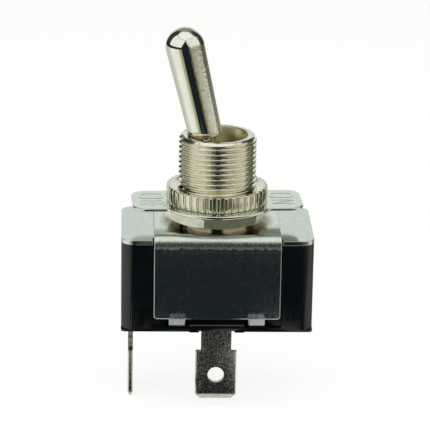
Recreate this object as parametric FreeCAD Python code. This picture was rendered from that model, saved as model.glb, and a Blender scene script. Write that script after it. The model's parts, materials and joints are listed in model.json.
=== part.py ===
import FreeCAD, Part
import math
import os

# Panel toggle switch with a bat lever, a threaded bushing, a turned-down strap
# crimped round a moulded case, and two flat push-on terminals.
# Millimetres. X runs along the case, from the off side (-X) to the on side (+X),
# Y runs from the front to the back, and Z runs up the bushing.
# The shapes are drawn with the strap's top face at z = 0. They are written with the origin
# on the bushing's axis, in the plane of the face nut's top, where a mating part seats.
# At rest the lever leans to -X, which leaves the contacts open.

# Case, moulded in one piece and open at the top
CASE_LENGTH = 29.4
CASE_WIDTH = 17.26
CASE_HEIGHT = 13.95
CASE_CORNER_R = 1.9
CASE_FOOT_T = 0.35
CASE_FOOT_CORNER_R = 0.7
CASE_END_WALL = 2.1
CASE_SIDE_WALL = 2.05
CASE_FLOOR = 2.0
CAVITY_CORNER_R = 1.0
STOP_LENGTH = 4.0
STOP_WIDTH = 5.2

# Strap, one folded sheet: a top with a flange down the front and another down the back
STRAP_T = 0.55
STRAP_LENGTH = 19.4
STRAP_DROP = 13.19
STRAP_BEND_R = 1.5
STRAP_CORNER_R = 0.5
STRAP_END_GAP = 0.2
STRAP_FACE_GAP = 0.06
CRIMP_X = 6.1
CRIMP_WIDTH = 2.5
CRIMP_DROP = 1.25
CRIMP_REACH = 1.5
CRIMP_BEND_R = 0.75
CRIMP_NOTCH_WIDTH = 3.8
CRIMP_FLOOR_GAP = 0.1
RECESS_BELOW = 1.4

# Boss moulded on the case's front and back, round the terminal slot
BOSS_LENGTH = 8.4
BOSS_HEIGHT = 1.25
BOSS_PROUD = 0.35
BOSS_ROUND_R = 0.45
BOSS_ARCH_LENGTH = 5.5
BOSS_ARCH_HEIGHT = 0.25
BOSS_ARCH_R = 0.2

# Cover plate under the strap, and the fibre liner below it
COVER_T = 0.7
COVER_HOLE_GAP = 0.2
COVER_LAND = 0.63
LINER_T = 0.4
LINER_LAND = 0.6
LINER_GAP = 0.1
LINER_HOLE_R = 5.1

# Bushing. Where nuts stand on it, it and they are drawn at the thread's pitch radius
THREAD_R = 5.953
THREAD_ADDENDUM = 0.258
FREE_THREAD_GAP = 0.2
BUSHING_HEIGHT = 13.85
RIM_R = 5.5
RIM_CHAMFER_H = 0.45
MOUTH_R = 4.55
MOUTH_CHAMFER = 0.15
LIP_R = 3.4
LIP_TOP_Z = 9.6
BUSHING_NECK_R = 5.45
STAKED_RIM_T = 0.45
SKIRT_R = 4.6
SKIRT_TOP_Z = 1.5
KEYWAY_WIDTH = 1.9
KEYWAY_DEPTH = 0.9
KEYWAY_DEG = 192.0
KEYWAY_BOTTOM_Z = 0.3

# Lever: bat, necked shank with two flats, ball and drilled tail
LEVER_PIVOT_Z = 5.76
LEVER_LEAN_DEG = 13.4
BALL_R = 4.0
BALL_GAP = 0.05
NECK_R = 1.75
NECK_FLAT_Y = 1.3
NECK_FLAT_RISE = 0.9
BAT_START = 7.8
BAT_LENGTH = 17.6
BAT_FOOT_R = 2.5
BAT_HEAD_R = 2.78
TAIL_REACH = 7.5
TAIL_R = 2.4
TAIL_CHAMFER = 0.3
PIN_R = 0.8
PIN_LENGTH = 9.9
PIN_SLOT_GAP = 0.03
PIN_END_GAP = 0.1

# Plunger and its spring, both in the lever's tail
BORE_R = 1.65
BORE_TOP = 1.75
PLUNGER_GAP = 0.05
PLUNGER_TOP = 4.6
PLUNGER_SHOULDER = 9.6
PLUNGER_TAPER = 1.4
PLUNGER_REACH = 13.06
PLUNGER_TIP_R = 1.2
SPRING_WIRE_R = 0.2
SPRING_GAP = 0.2
SPRING_TURNS = 4
SPRING_SEAT_GAP = 0.02
SPRING_STEPS = 12
SPRING_SIDES = 8

# Rocker: a formed strip that seesaws on two lugs
ROCKER_T = 0.7
ROCKER_WIDTH = 5.0
ROCKER_TILT_DEG = 5.5
ROCKER_END_GAP = 1.0
SADDLE_HALF = 4.3
SADDLE_EASE = 1.06
SEAT_GAP = 0.05
LUG_R = 0.5
LUG_LENGTH = 1.0
LUG_GAP = 0.05
STOP_GAP = 0.05

# Contacts, headed silver rivets
CONTACT_FROM_WALL = 2.4
CONTACT_R = 1.7
CONTACT_HEAD = 0.7
CONTACT_SHANK_R = 0.8
CONTACT_UPSET_R = 1.15
CONTACT_UPSET = 0.3
CONTACT_DOME_R = 5.0
CONTACT_EDGE_R = 0.25
CONTACT_GAP = 0.03

# Terminals: flat push-on tabs of the 6.35 by 0.8 size
TAB_WIDTH = 6.35
TAB_T = 0.8
TAB_LENGTH = 7.8
TAB_HOLE_R = 1.27
TAB_HOLE_FROM_TIP = 3.95
TAB_BEVEL = 0.8
TAB_TIP_T = 0.35
TAB_EDGE = 0.17
TERMINAL_NECK_WIDTH = 4.66
TERMINAL_BEND_R = 0.3
SLOT_GAP = 0.06
COMMON_FROM_FACE = 1.13
COMMON_NECK = 3.66
COMMON_FOOT_WIDTH = 6.0
EAR_WIDTH = 3.2
EAR_GAP = 0.25
EAR_ABOVE_PIVOT = 0.6
EAR_WINDOW_LENGTH = 2.6
LINE_FROM_END = 1.5
LINE_NECK = 5.16
LINE_SHELF_LENGTH = 5.2
LINE_SHELF_WIDTH = 4.8

# Nuts and the plate between them
NUT_BORE_GAP = 0.05
HEX_BOTTOM_Z = 0.8
HEX_T = 2.1
HEX_ACROSS_FLATS = 14.29
HEX_TURN_DEG = 14.8
HEX_CHAMFER_DEG = 25.0
PLATE_T = 0.5
PLATE_LENGTH = 26.2
PLATE_WIDTH = 9.5
PLATE_END_R = 2.2
PLATE_DISC_R = 9.05
PLATE_BLEND_R = 0.8
PLATE_HOLE_GAP = 0.12
PLATE_TURN_DEG = 2.4
KNURLED_T = 2.5
KNURLED_R = 7.78
KNURL_COUNT = 40
KNURL_CUT_R = 0.38
KNURL_DEPTH = 0.4
KNURLED_CHAMFER = 0.2
KNURLED_DISH_R = 6.9
KNURLED_DISH = 0.5

# Places that follow from the sizes above
COVER_TOP_Z = -STRAP_T
CASE_TOP_Z = COVER_TOP_Z - COVER_T
CASE_BOTTOM_Z = CASE_TOP_Z - CASE_HEIGHT
FLOOR_Z = CASE_BOTTOM_Z + CASE_FLOOR
LINER_BOTTOM_Z = CASE_TOP_Z - LINER_T
FACE_Y = CASE_WIDTH / 2
COMMON_FACE_Y = COMMON_FROM_FACE - FACE_Y
FLANGE_INNER_Y = FACE_Y - STRAP_T
RECESS_Y = FLANGE_INNER_Y - STRAP_FACE_GAP
STAKED_RIM_R = FACE_Y - STRAP_BEND_R - COVER_LAND - COVER_HOLE_GAP
CAVITY_X = CASE_LENGTH / 2 - CASE_END_WALL
CAVITY_Y = FACE_Y - CASE_SIDE_WALL
CONTACT_X = CAVITY_X - CONTACT_FROM_WALL
ROCKER_REACH = CAVITY_X - ROCKER_END_GAP
LINE_CENTRE_X = LINE_FROM_END - CASE_LENGTH / 2
FLANGE_BOTTOM_Z = -STRAP_DROP
CRIMP_BOTTOM_Z = FLANGE_BOTTOM_Z - CRIMP_DROP
CRIMP_TOP_Z = CRIMP_BOTTOM_Z + STRAP_T
HEX_FLAT_R = HEX_ACROSS_FLATS / 2
HEX_TOP_Z = HEX_BOTTOM_Z + HEX_T
PLATE_TOP_Z = HEX_TOP_Z + PLATE_T
KNURLED_TOP_Z = PLATE_TOP_Z + KNURLED_T
FREE_THREAD_Z = KNURLED_TOP_Z + FREE_THREAD_GAP
PITCH_R = THREAD_R - THREAD_ADDENDUM
NUT_BORE_R = PITCH_R + NUT_BORE_GAP
BALL_SEAT_R = BALL_R + BALL_GAP
PIVOT = FreeCAD.Vector(0, 0, LEVER_PIVOT_Z)
TILT = math.radians(ROCKER_TILT_DEG)

# The rocker turns about the centre of its round lugs, below the plunger's lowest point
SADDLE_ABOVE_AXIS = ROCKER_T - LUG_R
TIP_ABOVE_AXIS = SADDLE_ABOVE_AXIS + PLUNGER_TIP_R + SEAT_GAP
ROCKER_AXIS_Z = LEVER_PIVOT_Z - PLUNGER_REACH - TIP_ABOVE_AXIS
ROCKER_AXIS = FreeCAD.Vector(0, 0, ROCKER_AXIS_Z)
ROCKER_RATIO = ROCKER_TILT_DEG / LEVER_LEAN_DEG

X_AXIS = FreeCAD.Vector(1, 0, 0)
Y_AXIS = FreeCAD.Vector(0, 1, 0)
Z_AXIS = FreeCAD.Vector(0, 0, 1)
OVERCUT = 1.0
HALF_RIGHT = math.radians(45)


def block(x0, x1, y0, y1, z0, z1):
    """Box between two corners."""
    corner = FreeCAD.Vector(min(x0, x1), min(y0, y1), min(z0, z1))
    return Part.makeBox(abs(x1 - x0), abs(y1 - y0), abs(z1 - z0), corner)


def rod(radius, start, direction, length):
    """Round bar from a point along a direction."""
    return Part.makeCylinder(radius, length, start, direction)


def upright(radius, z0, z1):
    """Round bar on the bushing's axis."""
    return rod(radius, FreeCAD.Vector(0, 0, z0), Z_AXIS, z1 - z0)


def polygon(points):
    """Flat face from its corner points."""
    corners = [FreeCAD.Vector(*point) for point in points]
    return Part.Face(Part.makePolygon(corners + corners[:1]))


def turned(edges):
    """Solid of revolution about Z from the edges of its half section in the XZ plane."""
    wire = Part.Wire(Part.__sortEdges__(edges))
    return Part.Face(wire).revolve(FreeCAD.Vector(0, 0, 0), Z_AXIS, 360)


def line(a, b):
    """Straight edge of a half section, between two (radius, height) pairs."""
    return Part.makeLine(FreeCAD.Vector(a[0], 0, a[1]), FreeCAD.Vector(b[0], 0, b[1]))


def lines(points):
    """Straight edges through a list of (radius, height) pairs."""
    return [line(a, b) for a, b in zip(points, points[1:])]


def arc(a, middle, b):
    """Round edge of a half section through three (radius, height) pairs."""
    points = [FreeCAD.Vector(p[0], 0, p[1]) for p in (a, middle, b)]
    return Part.Arc(*points).toShape()


def edges_along(shape, axis, test=None):
    """Straight edges that run along an axis and pass a test on their midpoint."""
    found = []
    for edge in shape.Edges:
        if not isinstance(edge.Curve, Part.Line):
            continue
        along = abs(edge.tangentAt(edge.FirstParameter).dot(axis))
        if along > 0.999 and (test is None or test(edge.CenterOfMass)):
            found.append(edge)
    return found


def both_ends(shape):
    """The shape with its mirror image across the XZ plane."""
    return shape.fuse(shape.mirror(FreeCAD.Vector(0, 0, 0), Y_AXIS))


def single(shape):
    """One clean solid from the result of boolean work."""
    clean = shape.removeSplitter()
    return clean.Solids[0] if len(clean.Solids) == 1 else clean


def leaning(shape):
    """Turn a shape that was built upright on the lever's axis into the rest pose."""
    turned_shape = shape.copy()
    turned_shape.rotate(PIVOT, Y_AXIS, -LEVER_LEAN_DEG)
    return turned_shape


def tilted(shape):
    """Turn a shape that was built level on the rocker's axis into the rest pose."""
    turned_shape = shape.copy()
    turned_shape.rotate(ROCKER_AXIS, Y_AXIS, ROCKER_TILT_DEG)
    return turned_shape


def saddle_radius():
    """Radius of the rocker's trough, which follows the plunger's tip as both swing."""
    reach = PLUNGER_REACH
    lift = reach * (0.5 + ROCKER_RATIO)
    run = reach - ROCKER_RATIO * TIP_ABOVE_AXIS
    return (run * run / (2 * lift) + PLUNGER_TIP_R) * SADDLE_EASE


def arm_edge(side_offset):
    """Point where the trough meets the rocker's arm, on a face that lies below the top face."""
    radius = saddle_radius()
    centre_z = SADDLE_ABOVE_AXIS + radius
    start_x = SADDLE_HALF + side_offset * math.sin(TILT)
    start_z = centre_z - math.sqrt(radius ** 2 - SADDLE_HALF ** 2) - side_offset * math.cos(TILT)
    grown = radius + side_offset
    along_x = math.cos(TILT)
    along_z = math.sin(TILT)
    half_b = start_x * along_x + (start_z - centre_z) * along_z
    c = start_x ** 2 + (start_z - centre_z) ** 2 - grown ** 2
    step = -half_b + math.sqrt(half_b ** 2 - c)
    return start_x + step * along_x, start_z + step * along_z


def arm_underside_z():
    """Height of an arm's level underside when that arm is down, over the rocker's axis."""
    x, z = arm_edge(ROCKER_T)
    return z * math.cos(TILT) - x * math.sin(TILT)


ARM_DOWN_Z = ROCKER_AXIS_Z + arm_underside_z()
FIXED_CONTACT_TOP_Z = ARM_DOWN_Z - CONTACT_HEAD - CONTACT_GAP
SHELF_TOP_Z = FIXED_CONTACT_TOP_Z - CONTACT_HEAD
STOP_TOP_Z = ARM_DOWN_Z - STOP_GAP


def case_block():
    """Outside of the case: a block with rounded upright corners."""
    shape = block(-CASE_LENGTH / 2, CASE_LENGTH / 2, -FACE_Y, FACE_Y, CASE_BOTTOM_Z, CASE_TOP_Z)
    return shape.makeFillet(CASE_CORNER_R, edges_along(shape, Z_AXIS))


def case_foot():
    """Thin foot under the block, with squarer corners, that runs on below the crimp notches."""
    foot = block(-CASE_LENGTH / 2, CASE_LENGTH / 2, -FACE_Y, FACE_Y,
                 CASE_BOTTOM_Z, CASE_BOTTOM_Z + CASE_FOOT_T)
    return foot.makeFillet(CASE_FOOT_CORNER_R, edges_along(foot, Z_AXIS))


def case_cavity():
    """Room for the mechanism, with the stop for the rocker's on-side arm left standing."""
    room = block(-CAVITY_X, CAVITY_X, -CAVITY_Y, CAVITY_Y, FLOOR_Z, CASE_TOP_Z + OVERCUT)
    room = room.makeFillet(CAVITY_CORNER_R, edges_along(room, Z_AXIS))
    stop = block(CAVITY_X - STOP_LENGTH, CAVITY_X + OVERCUT, -STOP_WIDTH / 2, STOP_WIDTH / 2,
                 FLOOR_Z - OVERCUT, STOP_TOP_Z)
    seat_x = CAVITY_X + LINER_LAND
    seat_y = CAVITY_Y + LINER_LAND
    seat = block(-seat_x, seat_x, -seat_y, seat_y, LINER_BOTTOM_Z, CASE_TOP_Z + OVERCUT)
    seat = seat.makeFillet(CAVITY_CORNER_R, edges_along(seat, Z_AXIS))
    return room.cut(stop).fuse(seat)


def crimp_notch(x):
    """Shallow notch with a pocket for a crimped tab, its roof's front edge eased for the fold."""
    front = -FACE_Y - OVERCUT
    back = -FACE_Y + CRIMP_REACH + STRAP_END_GAP
    floor_z = CRIMP_BOTTOM_Z - CRIMP_FLOOR_GAP
    ease = CRIMP_BEND_R - STRAP_T
    x0 = x - CRIMP_NOTCH_WIDTH / 2
    side = polygon([(x0, front, CASE_BOTTOM_Z), (x0, -RECESS_Y, CASE_BOTTOM_Z), (x0, -RECESS_Y, floor_z),
                    (x0, back, floor_z), (x0, back, CRIMP_TOP_Z), (x0, ease - RECESS_Y, CRIMP_TOP_Z),
                    (x0, -RECESS_Y, CRIMP_TOP_Z + ease), (x0, front, CRIMP_TOP_Z + ease)])
    return side.extrude(FreeCAD.Vector(CRIMP_NOTCH_WIDTH, 0, 0))


def strap_recess():
    """Shallow recess for a flange, and the notches and pockets that its crimped tabs fold into."""
    half = STRAP_LENGTH / 2 + STRAP_END_GAP
    recess = block(-half, half, -FACE_Y - OVERCUT, -RECESS_Y,
                   FLANGE_BOTTOM_Z - RECESS_BELOW, CASE_TOP_Z + OVERCUT)
    return both_ends(recess.fuse(crimp_notch(-CRIMP_X)).fuse(crimp_notch(CRIMP_X)))


def slot_boss():
    """Raised pad at the foot of the front and back faces, rounded along its top."""
    half = BOSS_LENGTH / 2
    pad = block(-half, half, -FACE_Y - BOSS_PROUD, -RECESS_Y, CASE_BOTTOM_Z, CASE_BOTTOM_Z + BOSS_HEIGHT)
    front = edges_along(pad, X_AXIS, lambda p: p.y < -FACE_Y and p.z > CASE_BOTTOM_Z + CASE_FOOT_T)
    pad = pad.makeFillet(BOSS_ROUND_R, front)
    arch = block(-BOSS_ARCH_LENGTH / 2, BOSS_ARCH_LENGTH / 2, -FACE_Y - BOSS_PROUD - OVERCUT,
                 -RECESS_Y, CASE_BOTTOM_Z - OVERCUT, CASE_BOTTOM_Z + BOSS_ARCH_HEIGHT)
    corners = edges_along(arch, Y_AXIS, lambda p: p.z > CASE_BOTTOM_Z)
    arch = arch.makeFillet(BOSS_ARCH_R, corners)
    return both_ends(pad), both_ends(arch)


def terminal_slots():
    """Slots through the floor for both terminals, and the room that they need inside."""
    half = TERMINAL_NECK_WIDTH / 2 + SLOT_GAP
    y0 = COMMON_FACE_Y - SLOT_GAP
    y1 = COMMON_FACE_Y + TAB_T + SLOT_GAP
    slots = block(-half, half, y0, y1, CASE_BOTTOM_Z - OVERCUT, FLOOR_Z + OVERCUT)
    slots = slots.fuse(block(-half, half, y0, y1 + TERMINAL_BEND_R,
                             FLOOR_Z - TERMINAL_BEND_R - SLOT_GAP, FLOOR_Z + OVERCUT))
    foot_half = COMMON_FOOT_WIDTH / 2 + SLOT_GAP
    slots = slots.fuse(block(-foot_half, foot_half, y0, -CAVITY_Y + OVERCUT,
                             FLOOR_Z, FLOOR_Z + TAB_T + SLOT_GAP))
    x0 = LINE_CENTRE_X - TAB_T / 2 - SLOT_GAP
    x1 = LINE_CENTRE_X + TAB_T / 2 + SLOT_GAP
    slots = slots.fuse(block(x0, x1, -half, half, CASE_BOTTOM_Z - OVERCUT, FLOOR_Z + OVERCUT))
    shelf_half = LINE_SHELF_WIDTH / 2 + SLOT_GAP
    channel = block(x0, -CAVITY_X + OVERCUT, -shelf_half, shelf_half, FLOOR_Z, SHELF_TOP_Z + SLOT_GAP)
    return slots.fuse(channel)


def case():
    """Moulded case."""
    pad, arch = slot_boss()
    shape = case_block().cut(strap_recess()).fuse(case_foot()).fuse(pad)
    shape = shape.cut(arch).cut(case_cavity()).cut(terminal_slots())
    return single(shape)


def strap_sheet():
    """The strap's top and flanges, as the sheet between two rounded blocks."""
    half = STRAP_LENGTH / 2
    outer = block(-half, half, -FACE_Y, FACE_Y, FLANGE_BOTTOM_Z, 0)
    outer = outer.makeFillet(STRAP_BEND_R, edges_along(outer, X_AXIS, lambda p: p.z > -STRAP_T))
    low = edges_along(outer, Y_AXIS, lambda p: p.z < FLANGE_BOTTOM_Z + STRAP_T)
    outer = outer.makeFillet(STRAP_CORNER_R, low)
    inner = block(-half - OVERCUT, half + OVERCUT, -FLANGE_INNER_Y, FLANGE_INNER_Y,
                  FLANGE_BOTTOM_Z - OVERCUT, -STRAP_T)
    top = edges_along(inner, X_AXIS, lambda p: p.z > -2 * STRAP_T)
    return outer.cut(inner.makeFillet(STRAP_BEND_R - STRAP_T, top))


def crimp_tab(x):
    """Narrow tongue that folds under a ledge of the case from the front flange's foot."""
    x0 = x - CRIMP_WIDTH / 2
    x1 = x + CRIMP_WIDTH / 2
    outer = block(x0, x1, -FACE_Y, -FACE_Y + CRIMP_REACH, CRIMP_BOTTOM_Z, FLANGE_BOTTOM_Z + STRAP_T)
    bend = edges_along(outer, X_AXIS, lambda p: p.y < -FLANGE_INNER_Y and p.z < FLANGE_BOTTOM_Z)
    outer = outer.makeFillet(CRIMP_BEND_R, bend)
    inner = block(x0 - OVERCUT, x1 + OVERCUT, -FLANGE_INNER_Y, -FACE_Y + CRIMP_REACH + OVERCUT,
                  CRIMP_TOP_Z, FLANGE_BOTTOM_Z + STRAP_T + OVERCUT)
    hollow = edges_along(inner, X_AXIS, lambda p: p.y < -FLANGE_INNER_Y + STRAP_T and p.z < FLANGE_BOTTOM_Z)
    return outer.cut(inner.makeFillet(CRIMP_BEND_R - STRAP_T, hollow))


def mounting_strap():
    """Folded strap with four crimped tabs and the hole that the bushing is staked in."""
    tabs = crimp_tab(-CRIMP_X).fuse(crimp_tab(CRIMP_X))
    shape = strap_sheet().fuse(both_ends(tabs))
    return single(shape.cut(upright(BUSHING_NECK_R, -STRAP_T - OVERCUT, OVERCUT)))


def cover_plate():
    """Flat plate that closes the case, notched where the strap's bends pass."""
    shape = block(-CASE_LENGTH / 2, CASE_LENGTH / 2, -FACE_Y, FACE_Y, CASE_TOP_Z, COVER_TOP_Z)
    shape = shape.makeFillet(CASE_CORNER_R, edges_along(shape, Z_AXIS))
    half = STRAP_LENGTH / 2 + STRAP_END_GAP
    notch = block(-half, half, -FACE_Y - OVERCUT, -FACE_Y + STRAP_BEND_R,
                  CASE_TOP_Z - OVERCUT, COVER_TOP_Z + OVERCUT)
    hole = upright(STAKED_RIM_R + COVER_HOLE_GAP, CASE_TOP_Z - OVERCUT, COVER_TOP_Z + OVERCUT)
    return single(shape.cut(both_ends(notch)).cut(hole))


def liner():
    """Fibre sheet that keeps the arc off the cover, in a rebate of the case."""
    half_x = CAVITY_X + LINER_LAND - LINER_GAP
    half_y = CAVITY_Y + LINER_LAND - LINER_GAP
    shape = block(-half_x, half_x, -half_y, half_y, LINER_BOTTOM_Z, CASE_TOP_Z)
    shape = shape.makeFillet(CAVITY_CORNER_R, edges_along(shape, Z_AXIS))
    return single(shape.cut(upright(LINER_HOLE_R, LINER_BOTTOM_Z - OVERCUT, CASE_TOP_Z + OVERCUT)))


def bushing_section():
    """Half section of the bushing: thread outside, ball seat and mouth inside."""
    staked_z = -STRAP_T - STAKED_RIM_T
    seat_z = LEVER_PIVOT_Z + math.sqrt(BALL_SEAT_R ** 2 - LIP_R ** 2)
    middle = math.asin((seat_z - LEVER_PIVOT_Z) / BALL_SEAT_R) / 2
    seat_middle = (BALL_SEAT_R * math.cos(middle), LEVER_PIVOT_Z + BALL_SEAT_R * math.sin(middle))
    outside = [(SKIRT_R, staked_z), (STAKED_RIM_R, staked_z), (STAKED_RIM_R, -STRAP_T),
               (BUSHING_NECK_R, -STRAP_T), (BUSHING_NECK_R, 0), (PITCH_R, 0),
               (PITCH_R, FREE_THREAD_Z), (THREAD_R, FREE_THREAD_Z),
               (THREAD_R, BUSHING_HEIGHT - RIM_CHAMFER_H), (RIM_R, BUSHING_HEIGHT),
               (MOUTH_R + MOUTH_CHAMFER, BUSHING_HEIGHT), (MOUTH_R, BUSHING_HEIGHT - MOUTH_CHAMFER),
               (MOUTH_R, LIP_TOP_Z), (LIP_R, LIP_TOP_Z), (LIP_R, seat_z)]
    seat = arc((LIP_R, seat_z), seat_middle, (BALL_SEAT_R, LEVER_PIVOT_Z))
    skirt = [(BALL_SEAT_R, LEVER_PIVOT_Z), (BALL_SEAT_R, SKIRT_TOP_Z), (SKIRT_R, staked_z)]
    return lines(outside) + [seat] + lines(skirt)


def keyway_tool():
    """Bar that cuts the keyway down the thread."""
    inner = THREAD_R - KEYWAY_DEPTH
    bar = block(inner, THREAD_R + OVERCUT, -KEYWAY_WIDTH / 2, KEYWAY_WIDTH / 2,
                KEYWAY_BOTTOM_Z, BUSHING_HEIGHT + OVERCUT)
    bar.rotate(FreeCAD.Vector(0, 0, 0), Z_AXIS, KEYWAY_DEG)
    return bar


def pin_slot_tool():
    """Slot across the bore, open at the bottom, that the pivot pin's ends stand in."""
    width = PIN_R + PIN_SLOT_GAP
    half = PIN_LENGTH / 2 + PIN_END_GAP
    slot = block(-width, width, -half, half, -STRAP_T - STAKED_RIM_T - OVERCUT, LEVER_PIVOT_Z)
    return slot.fuse(rod(width, FreeCAD.Vector(0, -half, LEVER_PIVOT_Z), Y_AXIS, 2 * half))


def bushing():
    """Threaded bushing, staked in the strap."""
    return single(turned(bushing_section()).cut(keyway_tool()).cut(pin_slot_tool()))


def lever_section():
    """Half section of the lever along its own axis, heights counted from the pivot."""
    neck_z = math.sqrt(BALL_R ** 2 - NECK_R ** 2)
    tail_z = -math.sqrt(BALL_R ** 2 - TAIL_R ** 2)
    head_z = BAT_START + BAT_LENGTH - BAT_HEAD_R
    slant = math.atan2(BAT_HEAD_R - BAT_FOOT_R, head_z - BAT_START)
    side = (BAT_HEAD_R * math.cos(slant), head_z - BAT_HEAD_R * math.sin(slant))
    crown = (BAT_HEAD_R * math.cos(HALF_RIGHT), head_z + BAT_HEAD_R * math.sin(HALF_RIGHT))
    tip = (0, head_z + BAT_HEAD_R)
    tail = [(0, -TAIL_REACH), (TAIL_R - TAIL_CHAMFER, -TAIL_REACH),
            (TAIL_R, -TAIL_REACH + TAIL_CHAMFER), (TAIL_R, tail_z)]
    shank = [(NECK_R, neck_z), (NECK_R, BAT_START), (BAT_FOOT_R, BAT_START), side]
    return (lines(tail) + [arc((TAIL_R, tail_z), (BALL_R, 0), (NECK_R, neck_z))]
            + lines(shank) + [arc(side, crown, tip), line(tip, (0, -TAIL_REACH))])


def lever():
    """Bat lever with its ball, flats, drilled tail and cross hole, in the rest pose."""
    shape = turned(lever_section())
    flat_from = math.sqrt(BALL_R ** 2 - NECK_R ** 2) + NECK_FLAT_RISE
    flat = block(-BALL_R, BALL_R, NECK_FLAT_Y, BALL_R, flat_from, BAT_START)
    bore = upright(BORE_R, -TAIL_REACH - OVERCUT, -BORE_TOP)
    hole = rod(PIN_R, FreeCAD.Vector(0, -BALL_R - OVERCUT, 0), Y_AXIS, 2 * (BALL_R + OVERCUT))
    shape = shape.cut(both_ends(flat)).cut(bore).cut(hole)
    shape.translate(PIVOT)
    return leaning(single(shape))


def pivot_pin():
    """Cross pin, pressed through the lever's ball."""
    start = FreeCAD.Vector(0, -PIN_LENGTH / 2, LEVER_PIVOT_Z)
    return leaning(rod(PIN_R, start, Y_AXIS, PIN_LENGTH))


def plunger():
    """Moulded plunger that slides in the lever's tail and rides on the rocker."""
    stem = BORE_R - PLUNGER_GAP
    side = [(0, -PLUNGER_TOP), (stem, -PLUNGER_TOP), (stem, -PLUNGER_SHOULDER),
            (PLUNGER_TIP_R, -PLUNGER_SHOULDER - PLUNGER_TAPER), (PLUNGER_TIP_R, -PLUNGER_REACH)]
    crown = (PLUNGER_TIP_R * math.cos(HALF_RIGHT),
             -PLUNGER_REACH - PLUNGER_TIP_R * math.sin(HALF_RIGHT))
    tip = (0, -PLUNGER_REACH - PLUNGER_TIP_R)
    shape = turned(lines(side) + [arc(side[-1], crown, tip), line(tip, side[0])])
    shape.translate(PIVOT)
    return leaning(shape)


def wire_section(coil_r, slope):
    """Regular polygon across the spring's wire, square to the wire at the coil's foot."""
    corners = []
    for i in range(SPRING_SIDES + 1):
        angle = 2 * math.pi * i / SPRING_SIDES
        corners.append(FreeCAD.Vector(coil_r + SPRING_WIRE_R * math.cos(angle), 0,
                                      SPRING_WIRE_R * math.sin(angle)))
    section = Part.makePolygon(corners)
    section.rotate(FreeCAD.Vector(0, 0, 0), X_AXIS, math.degrees(slope))
    return section


def plunger_spring():
    """Coil spring between the bore's end and the plunger, lofted through short steps."""
    coil_r = BORE_R - SPRING_GAP - SPRING_WIRE_R
    inset = SPRING_WIRE_R + SPRING_SEAT_GAP
    height = PLUNGER_TOP - BORE_TOP - 2 * inset
    slope = math.atan2(height / SPRING_TURNS, 2 * math.pi * coil_r)
    steps = SPRING_TURNS * SPRING_STEPS
    sections = []
    for i in range(steps + 1):
        section = wire_section(coil_r, slope)
        section.rotate(FreeCAD.Vector(0, 0, 0), Z_AXIS, 360 * i / SPRING_STEPS)
        section.translate(FreeCAD.Vector(0, 0, height * i / steps))
        sections.append(section)
    shape = Part.makeLoft(sections, True, True)
    shape.translate(PIVOT + FreeCAD.Vector(0, 0, inset - PLUNGER_TOP))
    return leaning(shape)


def rocker_side():
    """Side outline of the rocker's on-side half, heights counted from its axis."""
    radius = saddle_radius()
    centre_z = SADDLE_ABOVE_AXIS + radius
    top_x, top_z = arm_edge(0.0)
    low_x, low_z = arm_edge(ROCKER_T)
    end = (ROCKER_REACH - top_x) / math.cos(TILT)
    top_end = (top_x + end * math.cos(TILT), top_z + end * math.sin(TILT))
    low_end = (top_end[0] + ROCKER_T * math.sin(TILT), top_end[1] - ROCKER_T * math.cos(TILT))
    half_top = math.asin(top_x / radius) / 2
    half_low = math.asin(low_x / (radius + ROCKER_T)) / 2
    top_mid = (radius * math.sin(half_top), centre_z - radius * math.cos(half_top))
    low_mid = ((radius + ROCKER_T) * math.sin(half_low),
               centre_z - (radius + ROCKER_T) * math.cos(half_low))
    top = (0, SADDLE_ABOVE_AXIS)
    low = (0, SADDLE_ABOVE_AXIS - ROCKER_T)
    return [arc(top, top_mid, (top_x, top_z)), line((top_x, top_z), top_end), line(top_end, low_end),
            line(low_end, (low_x, low_z)), arc((low_x, low_z), low_mid, low), line(low, top)]


def contact_place(x):
    """Point on an arm's underside, over the rocker's axis, that stands at x when the arm is down."""
    low_x, low_z = arm_edge(ROCKER_T)
    down_x = low_x * math.cos(TILT) + low_z * math.sin(TILT)
    step = x - down_x
    return low_x + step * math.cos(TILT), low_z + step * math.sin(TILT)


def rocker():
    """Contact blade: a trough in the middle, two arms, and a lug on each side."""
    half = Part.Face(Part.Wire(Part.__sortEdges__(rocker_side())))
    half = half.extrude(FreeCAD.Vector(0, ROCKER_WIDTH, 0))
    half.translate(FreeCAD.Vector(0, -ROCKER_WIDTH / 2, 0))
    shape = half.fuse(half.mirror(FreeCAD.Vector(0, 0, 0), X_AXIS))
    lug_half = ROCKER_WIDTH / 2 + LUG_LENGTH
    lugs = rod(LUG_R, FreeCAD.Vector(0, -lug_half, 0), Y_AXIS, 2 * lug_half)
    above = block(-LUG_R, LUG_R, -lug_half, lug_half, SADDLE_ABOVE_AXIS, LUG_R + OVERCUT)
    shape = shape.fuse(lugs.cut(above))
    x, z = contact_place(CONTACT_X)
    normal = FreeCAD.Vector(math.sin(TILT), 0, math.cos(TILT))
    hole = rod(CONTACT_SHANK_R, FreeCAD.Vector(-x, 0, z) - normal, normal, ROCKER_T + 2 * OVERCUT)
    shape = single(shape.cut(hole))
    shape.translate(ROCKER_AXIS)
    return tilted(shape)


def rivet(grip, domed):
    """Contact rivet with its head below z = 0 and its upset end above the grip."""
    head = upright(CONTACT_R, -CONTACT_HEAD, 0)
    if domed:
        centre = FreeCAD.Vector(0, 0, CONTACT_DOME_R - CONTACT_HEAD)
        head = head.common(Part.makeSphere(CONTACT_DOME_R, centre))
    else:
        rim = [edge for edge in head.Edges if edge.BoundBox.ZMax < -CONTACT_HEAD / 2]
        head = head.makeFillet(CONTACT_EDGE_R, rim)
    shank = upright(CONTACT_SHANK_R, 0, grip)
    upset = upright(CONTACT_UPSET_R, grip, grip + CONTACT_UPSET)
    return single(head.fuse(shank).fuse(upset))


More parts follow.
